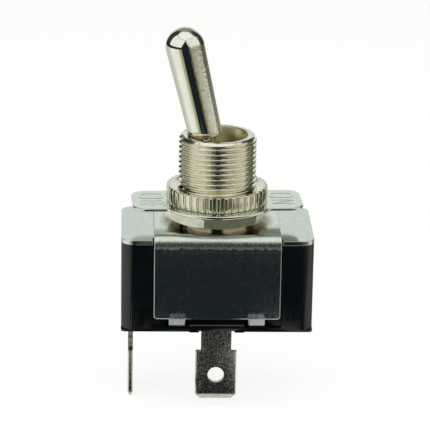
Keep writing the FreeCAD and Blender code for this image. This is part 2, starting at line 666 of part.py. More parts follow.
def moving_contact():
    """Domed silver rivet in the rocker's off-side arm."""
    x, z = contact_place(CONTACT_X)
    shape = rivet(ROCKER_T, True)
    shape.rotate(FreeCAD.Vector(0, 0, 0), Y_AXIS, ROCKER_TILT_DEG)
    shape.translate(FreeCAD.Vector(-x, 0, z) + ROCKER_AXIS)
    return tilted(shape)


def fixed_contact():
    """Flat silver rivet, head up, in the line terminal's shelf."""
    shape = rivet(TAB_T, False)
    shape.rotate(FreeCAD.Vector(0, 0, 0), X_AXIS, 180)
    shape.translate(FreeCAD.Vector(-CONTACT_X, 0, SHELF_TOP_Z))
    return shape


def push_on_tab():
    """Push-on tab below z = 0, across X, from y = 0 to its thickness, bevelled all round."""
    half = TAB_WIDTH / 2
    start = TAB_BEVEL - TAB_LENGTH
    outline = polygon([(-half, 0, 0), (half, 0, 0), (half, 0, start), (half - TAB_BEVEL, 0, -TAB_LENGTH),
                       (TAB_BEVEL - half, 0, -TAB_LENGTH), (-half, 0, start)])
    front = outline.extrude(FreeCAD.Vector(0, TAB_T, 0))
    thin = (TAB_T - TAB_TIP_T) / 2
    wedge = polygon([(-half, 0, 0), (-half, TAB_T, 0), (-half, TAB_T, start),
                     (-half, TAB_T - thin, -TAB_LENGTH), (-half, thin, -TAB_LENGTH), (-half, 0, start)])
    side = wedge.extrude(FreeCAD.Vector(TAB_WIDTH, 0, 0))
    rim = TAB_T - TAB_EDGE
    section = polygon([(TAB_EDGE - half, 0, 0), (half - TAB_EDGE, 0, 0), (half, TAB_EDGE, 0), (half, rim, 0),
                       (half - TAB_EDGE, TAB_T, 0), (TAB_EDGE - half, TAB_T, 0), (-half, rim, 0),
                       (-half, TAB_EDGE, 0)])
    bar = section.extrude(FreeCAD.Vector(0, 0, -TAB_LENGTH))
    hole = rod(TAB_HOLE_R, FreeCAD.Vector(0, -OVERCUT, TAB_HOLE_FROM_TIP - TAB_LENGTH), Y_AXIS,
               TAB_T + 2 * OVERCUT)
    return front.common(side).common(bar).cut(hole)


def folded_strip(far, top_z, low_z, width):
    """Strip that rises across X from low_z, at y = 0, and folds over towards +Y at top_z."""
    outer = block(-width / 2, width / 2, 0, far, low_z, top_z)
    bend = edges_along(outer, X_AXIS, lambda p: p.y < TAB_T / 2 and p.z > top_z - TAB_T / 2)
    outer = outer.makeFillet(TERMINAL_BEND_R + TAB_T, bend)
    inner = block(-width / 2 - OVERCUT, width / 2 + OVERCUT, TAB_T, far + OVERCUT,
                  low_z - OVERCUT, top_z - TAB_T)
    hollow = edges_along(inner, X_AXIS, lambda p: p.y < TAB_T * 1.5 and p.z > top_z - TAB_T * 1.5)
    return outer.cut(inner.makeFillet(TERMINAL_BEND_R, hollow))


def ear(y):
    """Upright ear with a round notch for a lug of the rocker."""
    half = EAR_WIDTH / 2
    tall = block(-half, half, y, y + TAB_T, FLOOR_Z, ROCKER_AXIS_Z + EAR_ABOVE_PIVOT)
    notch_r = LUG_R + LUG_GAP
    notch = rod(notch_r, FreeCAD.Vector(0, y - OVERCUT, ROCKER_AXIS_Z), Y_AXIS, TAB_T + 2 * OVERCUT)
    mouth = block(-notch_r, notch_r, y - OVERCUT, y + TAB_T + OVERCUT,
                  ROCKER_AXIS_Z, ROCKER_AXIS_Z + EAR_ABOVE_PIVOT + OVERCUT)
    return tall.cut(notch).cut(mouth)


def common_terminal():
    """Folded terminal: tab, neck, foot on the case's floor, and two ears that carry the rocker."""
    shoulder_z = CASE_BOTTOM_Z - COMMON_NECK
    ear_y = ROCKER_WIDTH / 2 + EAR_GAP
    far = ear_y + TAB_T - COMMON_FACE_Y
    foot_top = FLOOR_Z + TAB_T
    strip = folded_strip(far, foot_top, shoulder_z, COMMON_FOOT_WIDTH)
    side_cut = block(TERMINAL_NECK_WIDTH / 2, COMMON_FOOT_WIDTH, -OVERCUT, far + OVERCUT,
                     shoulder_z - OVERCUT, FLOOR_Z)
    strip = strip.cut(side_cut).cut(side_cut.mirror(FreeCAD.Vector(0, 0, 0), X_AXIS))
    tab = push_on_tab()
    tab.translate(FreeCAD.Vector(0, 0, shoulder_z))
    shape = strip.fuse(tab)
    shape.translate(FreeCAD.Vector(0, COMMON_FACE_Y, 0))
    window = block(-EAR_WIDTH / 2, EAR_WIDTH / 2, -ear_y, -ear_y + EAR_WINDOW_LENGTH,
                   FLOOR_Z - OVERCUT, foot_top + OVERCUT)
    return single(shape.cut(window).fuse(ear(ear_y)).fuse(ear(-ear_y - TAB_T)))


def line_terminal():
    """Folded terminal on the off side: tab, neck, riser and a shelf for the fixed contact."""
    shoulder_z = CASE_BOTTOM_Z - LINE_NECK
    strip = folded_strip(LINE_SHELF_LENGTH, SHELF_TOP_Z, shoulder_z, LINE_SHELF_WIDTH)
    side_cut = block(TERMINAL_NECK_WIDTH / 2, LINE_SHELF_WIDTH, -OVERCUT, TAB_T + OVERCUT,
                     shoulder_z - OVERCUT, FLOOR_Z)
    strip = strip.cut(side_cut).cut(side_cut.mirror(FreeCAD.Vector(0, 0, 0), X_AXIS))
    tab = push_on_tab()
    tab.translate(FreeCAD.Vector(0, 0, shoulder_z))
    shape = strip.fuse(tab)
    shape.rotate(FreeCAD.Vector(0, 0, 0), Z_AXIS, -90)
    shape.translate(FreeCAD.Vector(LINE_CENTRE_X - TAB_T / 2, 0, 0))
    start = FreeCAD.Vector(-CONTACT_X, 0, SHELF_TOP_Z - TAB_T - OVERCUT)
    hole = rod(CONTACT_SHANK_R, start, Z_AXIS, TAB_T + 2 * OVERCUT)
    return single(shape.cut(hole))


def hex_nut():
    """Thin hexagonal nut, chamfered on both faces."""
    corner_r = HEX_FLAT_R / math.cos(math.radians(30))
    angles = [math.radians(HEX_TURN_DEG + 60 * i) for i in range(6)]
    outline = polygon([(corner_r * math.cos(a), corner_r * math.sin(a), HEX_BOTTOM_Z) for a in angles])
    shape = outline.extrude(FreeCAD.Vector(0, 0, HEX_T))
    drop = (corner_r - HEX_FLAT_R) * math.tan(math.radians(HEX_CHAMFER_DEG))
    barrel = turned(lines([(0, HEX_BOTTOM_Z), (HEX_FLAT_R, HEX_BOTTOM_Z), (corner_r, HEX_BOTTOM_Z + drop),
                           (corner_r, HEX_TOP_Z - drop), (HEX_FLAT_R, HEX_TOP_Z), (0, HEX_TOP_Z),
                           (0, HEX_BOTTOM_Z)]))
    bore = upright(NUT_BORE_R, HEX_BOTTOM_Z - OVERCUT, HEX_TOP_Z + OVERCUT)
    return single(shape.common(barrel).cut(bore))


def legend_plate():
    """Flat plate with a round middle and two straight ends, clamped between the nuts."""
    strip = block(-PLATE_LENGTH / 2, PLATE_LENGTH / 2, -PLATE_WIDTH / 2, PLATE_WIDTH / 2,
                  HEX_TOP_Z, PLATE_TOP_Z)
    strip = strip.makeFillet(PLATE_END_R, edges_along(strip, Z_AXIS))
    shape = strip.fuse(upright(PLATE_DISC_R, HEX_TOP_Z, PLATE_TOP_Z)).removeSplitter()
    inner_x = math.sqrt(PLATE_DISC_R ** 2 - (PLATE_WIDTH / 2) ** 2)
    blends = edges_along(shape, Z_AXIS, lambda p: abs(abs(p.x) - inner_x) < PLATE_BLEND_R / 2)
    shape = shape.makeFillet(PLATE_BLEND_R, blends)
    shape = shape.cut(upright(THREAD_R + PLATE_HOLE_GAP, HEX_TOP_Z - OVERCUT, PLATE_TOP_Z + OVERCUT))
    shape.rotate(FreeCAD.Vector(0, 0, 0), Z_AXIS, PLATE_TURN_DEG)
    return single(shape)


def knurled_nut():
    """Round face nut with straight rounded grooves and a dished top."""
    edge_r = KNURLED_R - KNURLED_CHAMFER
    z0 = PLATE_TOP_Z
    z1 = KNURLED_TOP_Z
    shape = turned(lines([(NUT_BORE_R, z0), (edge_r, z0), (KNURLED_R, z0 + KNURLED_CHAMFER),
                          (KNURLED_R, z1 - KNURLED_CHAMFER), (edge_r, z1), (KNURLED_DISH_R, z1),
                          (NUT_BORE_R, z1 - KNURLED_DISH), (NUT_BORE_R, z0)]))
    centre = KNURLED_R - KNURL_DEPTH + KNURL_CUT_R
    grooves = []
    for i in range(KNURL_COUNT):
        angle = 2 * math.pi * (i + 0.5) / KNURL_COUNT
        start = FreeCAD.Vector(centre * math.cos(angle), centre * math.sin(angle), z0 - OVERCUT)
        grooves.append(rod(KNURL_CUT_R, start, Z_AXIS, KNURLED_T + 2 * OVERCUT))
    return single(shape.cut(Part.makeCompound(grooves)))


NODES = {
    "case": case,
    "mounting_strap": mounting_strap,
    "cover_plate": cover_plate,
    "liner": liner,
    "bushing": bushing,
    "lever": lever,
    "pivot_pin": pivot_pin,
    "plunger": plunger,
    "plunger_spring": plunger_spring,
    "rocker": rocker,
    "moving_contact": moving_contact,
    "fixed_contact": fixed_contact,
    "common_terminal": common_terminal,
    "line_terminal": line_terminal,
    "hex_nut": hex_nut,
    "legend_plate": legend_plate,
    "knurled_nut": knurled_nut,
}


def main():
    """Write one STEP file for each piece, in the frame of the face nut's top."""
    os.makedirs("parts", exist_ok=True)
    for name, make in NODES.items():
        shape = make()
        shape.translate(FreeCAD.Vector(0, 0, -KNURLED_TOP_Z))
        shape.exportStep(os.path.join("parts", name + ".step"))


main()
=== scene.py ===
import json
import math
import bmesh
import bpy
import numpy as np
from mathutils import Matrix, Vector


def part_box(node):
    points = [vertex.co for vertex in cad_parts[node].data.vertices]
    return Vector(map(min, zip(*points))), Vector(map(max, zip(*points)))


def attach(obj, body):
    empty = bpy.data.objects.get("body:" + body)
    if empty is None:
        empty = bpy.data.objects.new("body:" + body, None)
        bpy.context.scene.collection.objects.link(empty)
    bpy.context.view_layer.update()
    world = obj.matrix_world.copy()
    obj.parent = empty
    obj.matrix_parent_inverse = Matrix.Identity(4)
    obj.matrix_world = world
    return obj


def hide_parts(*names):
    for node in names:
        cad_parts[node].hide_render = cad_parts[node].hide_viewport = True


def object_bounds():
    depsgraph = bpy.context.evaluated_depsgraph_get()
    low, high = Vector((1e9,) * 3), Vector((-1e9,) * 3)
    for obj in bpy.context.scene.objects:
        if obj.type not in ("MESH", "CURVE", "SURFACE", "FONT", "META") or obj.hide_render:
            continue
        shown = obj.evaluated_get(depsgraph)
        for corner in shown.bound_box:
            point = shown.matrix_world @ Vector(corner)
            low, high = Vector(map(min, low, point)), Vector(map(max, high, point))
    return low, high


# %% [markdown]
# # A panel toggle switch
# The switch is about 60 mm tall: a polished bat lever leaves a threaded bushing, two nuts
# clamp a legend plate on it, and a folded strap holds the bushing on a black moulded case
# with two push-on terminals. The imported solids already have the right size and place.
# This lesson gives them their finishes, and makes anew what the eye reads closely:
# the thread, the knurling, the polished lever and the embossed words.

# %% Load the frame and measure it
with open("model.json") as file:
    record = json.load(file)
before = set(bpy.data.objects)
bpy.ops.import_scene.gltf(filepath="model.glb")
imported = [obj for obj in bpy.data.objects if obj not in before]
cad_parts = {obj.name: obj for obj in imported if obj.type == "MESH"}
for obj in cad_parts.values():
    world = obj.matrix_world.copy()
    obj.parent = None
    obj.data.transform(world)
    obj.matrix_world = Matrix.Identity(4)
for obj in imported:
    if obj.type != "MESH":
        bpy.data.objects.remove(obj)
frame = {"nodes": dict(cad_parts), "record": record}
MM = 0.001
cad_low, cad_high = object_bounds()
STRAP_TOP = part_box("mounting_strap")[1].z
FLOOR = cad_low.z
print("CAD box in mm:", [round(v / MM, 2) for v in (*cad_low, *cad_high)])

# %% [markdown]
# Colours are written as the sRGB hex values that a colour picker shows. Blender mixes light
# in linear values, so one function turns each hex value into those.

# %% Colour helper


def linear(code):
    """Linear RGBA from an sRGB hex code: the dark end is divided by 12.92, the rest is a 2.4 power."""
    parts = np.array([int(code[i:i + 2], 16) for i in (1, 3, 5)]) / 255
    low = parts / 12.92
    high = ((parts + 0.055) / 1.055) ** 2.4
    return (*np.where(parts <= 0.04045, low, high).tolist(), 1.0)


print("mid grey is", [round(v, 3) for v in linear("#808080")[:3]])

# %% [markdown]
# A material is a small tree of nodes. One function adds any node: it sets the properties,
# then the sockets. A socket that is given another node, or one of its outputs, gets a link.

# %% Node helper


def add(tree, kind, inputs=None, **settings):
    """Add a node with its settings. Inputs are numbers, colours, nodes (first output) or outputs."""
    made = tree.nodes.new(kind)
    for key, value in settings.items():
        setattr(made, key, value)
    for socket, value in (inputs or {}).items():
        if isinstance(value, bpy.types.Node):
            value = value.outputs[0]
        if isinstance(value, bpy.types.NodeSocket):
            tree.links.new(value, made.inputs[socket])
        else:
            made.inputs[socket].default_value = value
    return made


def new_material(name, **sockets):
    """A material with its Principled shader, whose uniform values go straight on its sockets."""
    material = bpy.data.materials.new(name)
    material.use_nodes = True
    tree = material.node_tree
    shader = tree.nodes["Principled BSDF"]
    for socket, value in sockets.items():
        shader.inputs[socket.replace("_", " ")].default_value = value
    print("material:", name)
    return material, tree, shader


print("node helpers are ready")

# %% [markdown]
# Most finishes here are one base tone that drifts a little, a gloss that drifts a little, and
# fine relief. Three noises do that: a broad one for the tone, a middle one for the gloss, and
# a fine one for the relief. Each grain is given as its real size on the object.

# %% Drifting tone, gloss and relief


def grain(tree, size, low=0.0, high=1.0, cut=(0.35, 0.65), detail=2.0):
    """Patches about size metres across, from low to high, where a noise passes its two cuts."""
    place = add(tree, "ShaderNodeTexCoord").outputs["Object"]
    noise = add(tree, "ShaderNodeTexNoise", {"Vector": place, "Scale": 1 / size, "Detail": detail})
    return add(tree, "ShaderNodeMapRange", {
        "Value": noise, "From Min": cut[0], "From Max": cut[1], "To Min": low, "To Max": high})


def dress(tree, shader, tones, tone_size, gloss, gloss_size, relief, relief_size):
    """Give a shader two drifting tones, a drifting roughness and a relief of a real height."""
    tone = add(tree, "ShaderNodeMix", {"Factor": grain(tree, tone_size)}, data_type="RGBA")
    tone.inputs["A"].default_value = linear(tones[0])
    tone.inputs["B"].default_value = linear(tones[1])
    tree.links.new(tone.outputs["Result"], shader.inputs["Base Color"])
    tree.links.new(grain(tree, gloss_size, *gloss).outputs[0], shader.inputs["Roughness"])
    height = grain(tree, relief_size, cut=(0.0, 1.0), detail=1.0)
    bump = add(tree, "ShaderNodeBump", {"Height": height, "Distance": relief})
    tree.links.new(bump.outputs["Normal"], shader.inputs["Normal"])
    return bump


def roughen(tree, shader, extra):
    """Add more roughness, from a node, to what a shader has."""
    before = shader.inputs["Roughness"].links[0].from_socket
    total = add(tree, "ShaderNodeMath", {0: before, 1: extra}, operation="ADD")
    tree.links.new(total.outputs[0], shader.inputs["Roughness"])


print("three noises make a finish")

# %% [markdown]
# The case is phenolic, moulded in a polished tool: nearly black, with a hard gloss. The eye
# sees sharp reflections that waver a little where the moulding shrank, so the relief is
# broad and very shallow.

# %% Moulded phenolic


def moulded_phenolic():
    """Glossy black moulding with a faint shrink ripple."""
    material, tree, shader = new_material("moulded_black_phenolic", IOR=1.5)
    dress(tree, shader, ("#080c10", "#0d1216"), tone_size=2.5 * MM, gloss=(0.10, 0.17),
          gloss_size=0.8 * MM, relief=0.0012 * MM, relief_size=1.2 * MM)
    return material


FINISHES = {"phenolic": moulded_phenolic()}

# %% [markdown]
# Strap, cover plate and legend plate are bright zinc plate over rolled steel. Zinc is cooler
# than nickel, a pale green-grey, and the sheet keeps a faint mottle from rolling. The three
# differ a little in tone, so one function makes each from its own pair of colours.

# %% Zinc plated sheet


def zinc_sheet(name, tones):
    """Bright zinc plate over rolled sheet, cool and slightly mottled."""
    material, tree, shader = new_material(name, Metallic=1.0)
    dress(tree, shader, tones, tone_size=0.8 * MM, gloss=(0.08, 0.12), gloss_size=0.5 * MM,
          relief=0.0004 * MM, relief_size=0.25 * MM)
    return material


FINISHES["plated_steel"] = zinc_sheet("zinc_plated_cover", ("#cbd2cb", "#d3dad3"))
FINISHES["legend"] = zinc_sheet("zinc_plated_legend", ("#d5dad0", "#dde2d7"))

# %% [markdown]
# Where the strap was folded, the sheet stretched and lost its shine: over the long fold, and
# in a ragged band below it. Each is a mask on the place in the piece. A Map Range node turns
# the stretch between two heights into a ramp, and multiplying two ramps keeps only the part
# where both hold. What comes out is roughness, to be added to the sheet's own.

# %% Dulled fold
FOLD_START_Y = 6.7 * MM
FOLD_START_SOFT = 0.6 * MM
FOLD_END_FOOT = STRAP_TOP - 1.3 * MM
FOLD_END_TOP = STRAP_TOP - 0.4 * MM
FOLD_ROUGH = 0.24
BAND_TOP = STRAP_TOP - 1.0 * MM
BAND_TOP_SOFT = 0.3 * MM
BAND_FADE = 0.8 * MM
BAND_FOOT = STRAP_TOP - 1.85 * MM
BAND_FOOT_SOFT = 0.1 * MM
BAND_ROUGH_FOOT = 0.26
BAND_ROUGH_TOP = 0.08
RAGGED_SIZE = 0.8 * MM
RAGGED_UP = -0.1 * MM
RAGGED_DOWN = 0.25 * MM


def fold_band(tree, height):
    """Extra roughness in the band under the fold: most at its ragged foot, less at its soft top."""
    shift = grain(tree, RAGGED_SIZE, RAGGED_UP, RAGGED_DOWN, detail=4.0)
    ragged = add(tree, "ShaderNodeMath", {0: shift, 1: height}, operation="ADD")
    foot = add(tree, "ShaderNodeMapRange", {
        "Value": ragged, "From Min": BAND_FOOT, "From Max": BAND_FOOT + BAND_FOOT_SOFT})
    much = add(tree, "ShaderNodeMapRange", {
        "Value": height, "From Min": BAND_TOP - BAND_FADE, "From Max": BAND_TOP,
        "To Min": BAND_ROUGH_FOOT, "To Max": BAND_ROUGH_TOP})
    top = add(tree, "ShaderNodeMapRange", {
        "Value": height, "From Min": BAND_TOP + BAND_TOP_SOFT, "From Max": BAND_TOP})
    band = add(tree, "ShaderNodeMath", {0: foot, 1: top}, operation="MULTIPLY")
    return add(tree, "ShaderNodeMath", {0: band, 1: much}, operation="MULTIPLY")


def fold_satin(tree, outwards, height):
    """Extra roughness over the fold, from where the sheet starts to bend to halfway round it."""
    start = add(tree, "ShaderNodeMapRange", {
        "Value": outwards, "From Min": FOLD_START_Y, "From Max": FOLD_START_Y + FOLD_START_SOFT,
        "To Max": FOLD_ROUGH})
    end = add(tree, "ShaderNodeMapRange", {
        "Value": height, "From Min": FOLD_END_FOOT, "From Max": FOLD_END_TOP})
    return add(tree, "ShaderNodeMath", {0: start, 1: end}, operation="MULTIPLY")


print("fold bends from y =", round(FOLD_START_Y / MM, 2), "mm")

# %% [markdown]
# The flange was cut to its outline, and the cut edges are broken metal, rougher still. Each
# crimped tab left a dull patch in the sheet above it. The patch narrows as it rises, so its
# half width is held against the distance from its middle plus a share of the height.

# %% Cut edges and crimp patches
CRIMP_DROP = 1.25 * MM
FLANGE_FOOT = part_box("mounting_strap")[0].z + CRIMP_DROP
FLANGE_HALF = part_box("mounting_strap")[1].x
SHEARED = 0.1 * MM
SHEARED_ROUGH = 0.4
CRIMP_AT = 6.0 * MM
PATCH_HALF = 1.45 * MM
PATCH_SIDE_OUT = 0.15 * MM
PATCH_SIDE_IN = 0.1 * MM
PATCH_TALL = 1.1 * MM
PATCH_TOP_OUT = 0.1 * MM
PATCH_TOP_IN = 0.3 * MM
PATCH_SLANT = 0.4
PATCH_ROUGH = 0.13


def sheared_edge(tree, across, height):
    """Extra roughness along the flange's cut edges, whose metal is broken."""
    side = add(tree, "ShaderNodeMapRange", {
        "Value": across, "From Min": FLANGE_HALF - SHEARED, "From Max": FLANGE_HALF - 0.5 * SHEARED,
        "To Max": SHEARED_ROUGH})
    foot = add(tree, "ShaderNodeMapRange", {
        "Value": height, "From Min": FLANGE_FOOT + SHEARED, "From Max": FLANGE_FOOT + 0.5 * SHEARED,
        "To Max": SHEARED_ROUGH})
    return add(tree, "ShaderNodeMath", {0: side, 1: foot}, operation="MAXIMUM")


def crimp_patch(tree, across, height):
    """Extra roughness over each crimped tab, narrower by PATCH_SLANT of the height on each side."""
    from_middle = add(tree, "ShaderNodeMath", {0: across, 1: CRIMP_AT}, operation="SUBTRACT")
    from_middle = add(tree, "ShaderNodeMath", {0: from_middle}, operation="ABSOLUTE")
    rise = add(tree, "ShaderNodeMath", {0: height, 1: FLANGE_FOOT}, operation="SUBTRACT")
    slanted = add(tree, "ShaderNodeMath", {
        0: rise, 1: PATCH_SLANT, 2: from_middle}, operation="MULTIPLY_ADD")
    side = add(tree, "ShaderNodeMapRange", {
        "Value": slanted, "From Min": PATCH_HALF + PATCH_SIDE_OUT, "From Max": PATCH_HALF - PATCH_SIDE_IN,
        "To Max": PATCH_ROUGH})
    top = add(tree, "ShaderNodeMapRange", {
        "Value": rise, "From Min": PATCH_TALL + PATCH_TOP_OUT, "From Max": PATCH_TALL - PATCH_TOP_IN})
    return add(tree, "ShaderNodeMath", {0: side, 1: top}, operation="MULTIPLY")


print("flange in mm: half width", round(FLANGE_HALF / MM, 2), "foot", round(FLANGE_FOOT / MM, 2))

# %% [markdown]
# Round the bushing the nut was turned on the strap, which wore the plate there and left it brown.
# The same brown also stands in for the dark reflection of the nut's shaded underside in the plate,
# so it is part wear and part painted reflection. The mask is the distance from the bushing's axis,
# and it ends where the sheet bends down. The brown is mixed over the tone that the shader has already.

# %% Worn ring with painted reflection
RUB_AND_REFLECTION_R = 7.6 * MM
RUB_AND_REFLECTION_FADE = 1.4 * MM
RUB_AND_REFLECTION_FULL_Y = FOLD_START_Y + 0.1 * MM
RUB_AND_REFLECTION_END_Y = FOLD_START_Y + 0.5 * MM
# brown of the worn ring, which also serves as a painted reflection of the nut's dark underside
RUB_AND_REFLECTION_TONE = linear("#80765f")


def paint_rub_and_reflection(tree, shader, along):
    """Brown the plate where the nut was turned, part wear and part painted reflection of the nut's dark
    underside: inside the ring's radius, and no further than the fold.
    """
    flat = add(tree, "ShaderNodeCombineXYZ", {"X": along["X"], "Y": along["Y"]})
    radius = add(tree, "ShaderNodeVectorMath", {0: flat}, operation="LENGTH").outputs["Value"]
    near = add(tree, "ShaderNodeMapRange", {
        "Value": radius, "From Min": RUB_AND_REFLECTION_R + RUB_AND_REFLECTION_FADE, "From Max": RUB_AND_REFLECTION_R})
    outwards = add(tree, "ShaderNodeMath", {0: along["Y"]}, operation="ABSOLUTE")
    level = add(tree, "ShaderNodeMapRange", {
        "Value": outwards, "From Min": RUB_AND_REFLECTION_END_Y, "From Max": RUB_AND_REFLECTION_FULL_Y})
    # where the brown goes: part wear, part painted reflection
    rub_and_reflection_mask = add(tree, "ShaderNodeMath", {0: near, 1: level}, operation="MULTIPLY")
    before = shader.inputs["Base Color"].links[0].from_socket
    tone = add(tree, "ShaderNodeMix", {"Factor": rub_and_reflection_mask}, data_type="RGBA")
    tree.links.new(before, tone.inputs["A"])
    tone.inputs["B"].default_value = RUB_AND_REFLECTION_TONE
    tree.links.new(tone.outputs["Result"], shader.inputs["Base Color"])


print("rubbed to a radius of", round((RUB_AND_REFLECTION_R + RUB_AND_REFLECTION_FADE) / MM, 1), "mm")

# %% [markdown]
# The strap's own finish is the zinc sheet with all those masks added to its roughness, and
# with fine dull specks over the whole of it, where the noise passes its two cuts.

# %% Zinc plated strap
SPECK_SIZE = 0.26 * MM
SPECK_ROUGH = 0.13
SPECK_CUT = (0.54, 0.74)


def folded_zinc():
    """The strap's zinc plate, dulled at its folds, patches and cut edges."""
    material = zinc_sheet("zinc_plated_strap", ("#d2d8d2", "#dbe1db"))
    tree = material.node_tree
    shader = tree.nodes["Principled BSDF"]
    place = add(tree, "ShaderNodeTexCoord").outputs["Object"]
    along = add(tree, "ShaderNodeSeparateXYZ", {"Vector": place}).outputs
    across = add(tree, "ShaderNodeMath", {0: along["X"]}, operation="ABSOLUTE")
    outwards = add(tree, "ShaderNodeMath", {0: along["Y"]}, operation="ABSOLUTE")
    roughen(tree, shader, fold_band(tree, along["Z"]))
    roughen(tree, shader, fold_satin(tree, outwards, along["Z"]))
    roughen(tree, shader, crimp_patch(tree, across, along["Z"]))
    roughen(tree, shader, sheared_edge(tree, across, along["Z"]))
    roughen(tree, shader, grain(tree, SPECK_SIZE, high=SPECK_ROUGH, cut=SPECK_CUT))
    # brown ring round the bushing: part wear, part painted reflection of the nut's underside
    paint_rub_and_reflection(tree, shader, along)
    return material


FINISHES["strap"] = folded_zinc()

# %% [markdown]
# Bushing, nuts and lever are turned brass with nickel plate, which is warmer than zinc.
# The nuts, the bushing and the lever's neck were plated as turned, so they are satin, and the
# grooves cut into the face nut's rim are duller, with a darker tone that is painted shade in the
# hollows. Plate hardly reaches into the bushing's bore, where the brass shows through as a khaki.

# %% Nickel plate


def satin_nickel(name, tones, gloss):
    """Nickel plate over turned brass, with a satin that drifts."""
    material, tree, shader = new_material(name, Metallic=1.0)
    dress(tree, shader, tones, tone_size=0.7 * MM, gloss=gloss, gloss_size=0.5 * MM,
          relief=0.0007 * MM, relief_size=0.2 * MM)
    return material


FINISHES["nickel_plate"] = satin_nickel("satin_nickel", ("#e0dcc9", "#eae7d7"), (0.11, 0.17))
FINISHES["thin_nickel"] = satin_nickel("thin_nickel_over_brass", ("#d2c7a0", "#dcd2ad"), (0.3, 0.4))
# groove finish: rougher, and its darker tone is painted shade
FINISHES["cut_nickel_with_painted_shade"] = satin_nickel("cut_groove_nickel_with_painted_shade", ("#cfccbc", "#dad7c8"), (0.18, 0.26))

# %% [markdown]
# The lever was polished before it was plated and mirrors the room. On the side that it leans
# away from, its plate is finely pitted, like orange peel: dimples 0.24 mm wide and about
# 0.01 mm deep, which break up the edge of each reflection there. The noise uses only about a
# third of its range, so the relief that is set here is three times that depth.

# %% Polished nickel
PIVOT_Z = -0.14 * MM
LEAN = math.radians(-13.4)
PIT_SIZE = 0.24 * MM
PIT_RELIEF = 0.03 * MM
PITS_START = 0.1 * MM
PITS_FULL = 0.8 * MM
PITS_ELSEWHERE = 0.02


def polished_nickel():
    """Mirror nickel, with the pits' depth masked by the distance across the leaning lever."""
    material, tree, shader = new_material("polished_nickel", Metallic=1.0)
    bump = dress(tree, shader, ("#e4e3d7", "#ebeadf"), tone_size=2.0 * MM, gloss=(0.03, 0.07),
                 gloss_size=0.6 * MM, relief=PIT_RELIEF, relief_size=PIT_SIZE)
    place = add(tree, "ShaderNodeTexCoord").outputs["Object"]
    along = add(tree, "ShaderNodeSeparateXYZ", {"Vector": place}).outputs
    rise = add(tree, "ShaderNodeMath", {0: along["Z"], 1: PIVOT_Z}, operation="SUBTRACT")
    level = add(tree, "ShaderNodeMath", {0: along["X"], 1: math.cos(LEAN)}, operation="MULTIPLY")
    across = add(tree, "ShaderNodeMath", {
        0: rise, 1: -math.sin(LEAN), 2: level}, operation="MULTIPLY_ADD")
    pits = add(tree, "ShaderNodeMapRange", {
        "Value": across, "From Min": PITS_START, "From Max": PITS_FULL, "To Min": PITS_ELSEWHERE})
    tree.links.new(pits.outputs[0], bump.inputs["Strength"])
    return material


FINISHES["bright_nickel"] = polished_nickel()

# %% [markdown]
# The terminals were blanked from tinned brass strip. Tin takes a grainy finish: most of it
# mirrors its surroundings dimly, and specks 0.16 mm wide are rough and catch light one by one.

# %% Tinned strip
TIN_GRAIN = 0.16 * MM
TIN_GRAIN_ROUGH = 0.3
TIN_GRAIN_CUT = (0.5, 0.7)


def tinned_strip():
    """Grainy tinned brass: a noise cut at a level makes rough specks in a smoother ground."""
    material, tree, shader = new_material("tinned_brass_strip", Metallic=1.0)
    dress(tree, shader, ("#b5b2a6", "#c9c6ba"), tone_size=0.5 * MM, gloss=(0.13, 0.2),
          gloss_size=0.6 * MM, relief=0.002 * MM, relief_size=TIN_GRAIN)
    roughen(tree, shader, grain(tree, TIN_GRAIN, high=TIN_GRAIN_ROUGH, cut=TIN_GRAIN_CUT, detail=1.0))
    return material


FINISHES["tinned_brass"] = tinned_strip()

# %% [markdown]
# Inside are pieces that show only when the switch is taken apart: a grey-brown fibre liner,
# a natural nylon plunger, a spring, a copper alloy blade and silver contacts.

# %% Finishes inside the case


def plain_finish(name, tones, metallic, gloss, size):
    """A finish with one drifting tone and gloss, for pieces that hide inside."""
    material, tree, shader = new_material(name, Metallic=metallic)
    dress(tree, shader, tones, tone_size=3 * size, gloss=gloss, gloss_size=2 * size,
          relief=0.002 * MM, relief_size=size)
    return material


INSIDE = {
    "fibre": ("vulcanised_fibre", ("#5c5148", "#6b5f54"), 0.0, (0.7, 0.85), 0.2 * MM),
    "nylon": ("moulded_natural_nylon", ("#ded9c9", "#e8e4d6"), 0.0, (0.4, 0.5), 0.3 * MM),
    "spring_steel": ("drawn_spring_wire", ("#9d9d9b", "#b4b4b1"), 1.0, (0.25, 0.35), 0.1 * MM),
    "copper_alloy": ("rolled_copper_alloy", ("#b98a5a", "#c99a68"), 1.0, (0.2, 0.35), 0.3 * MM),
    "silver": ("struck_silver", ("#dedcd6", "#eae8e2"), 1.0, (0.2, 0.3), 0.15 * MM),
}
for slot_name, settings in INSIDE.items():
    FINISHES[slot_name] = plain_finish(*settings)
print(len(FINISHES), "finishes")

# %% [markdown]
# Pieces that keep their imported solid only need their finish. Where such a solid has real
# stamped or moulded edges, its sharp mesh edges would stay black in a render, because no face
# turns towards the light there. A copy is merged, its flat areas are joined to single faces,
# and a Bevel rounds the edges by the real radius. The copy then stands for the node.

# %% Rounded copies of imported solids
EDGE_ANGLE = math.radians(28)
FLAT_ANGLE = math.radians(0.5)
MERGE = 0.0005 * MM


def new_piece(name, data):
    """An object for a mesh or a camera, linked into the scene at the origin."""
    piece = bpy.data.objects.new(name, data)
    bpy.context.scene.collection.objects.link(piece)
    return piece


def set_material(piece, finish):
    """Give a piece one material."""
    piece.data.materials.clear()
    piece.data.materials.append(FINISHES[finish])


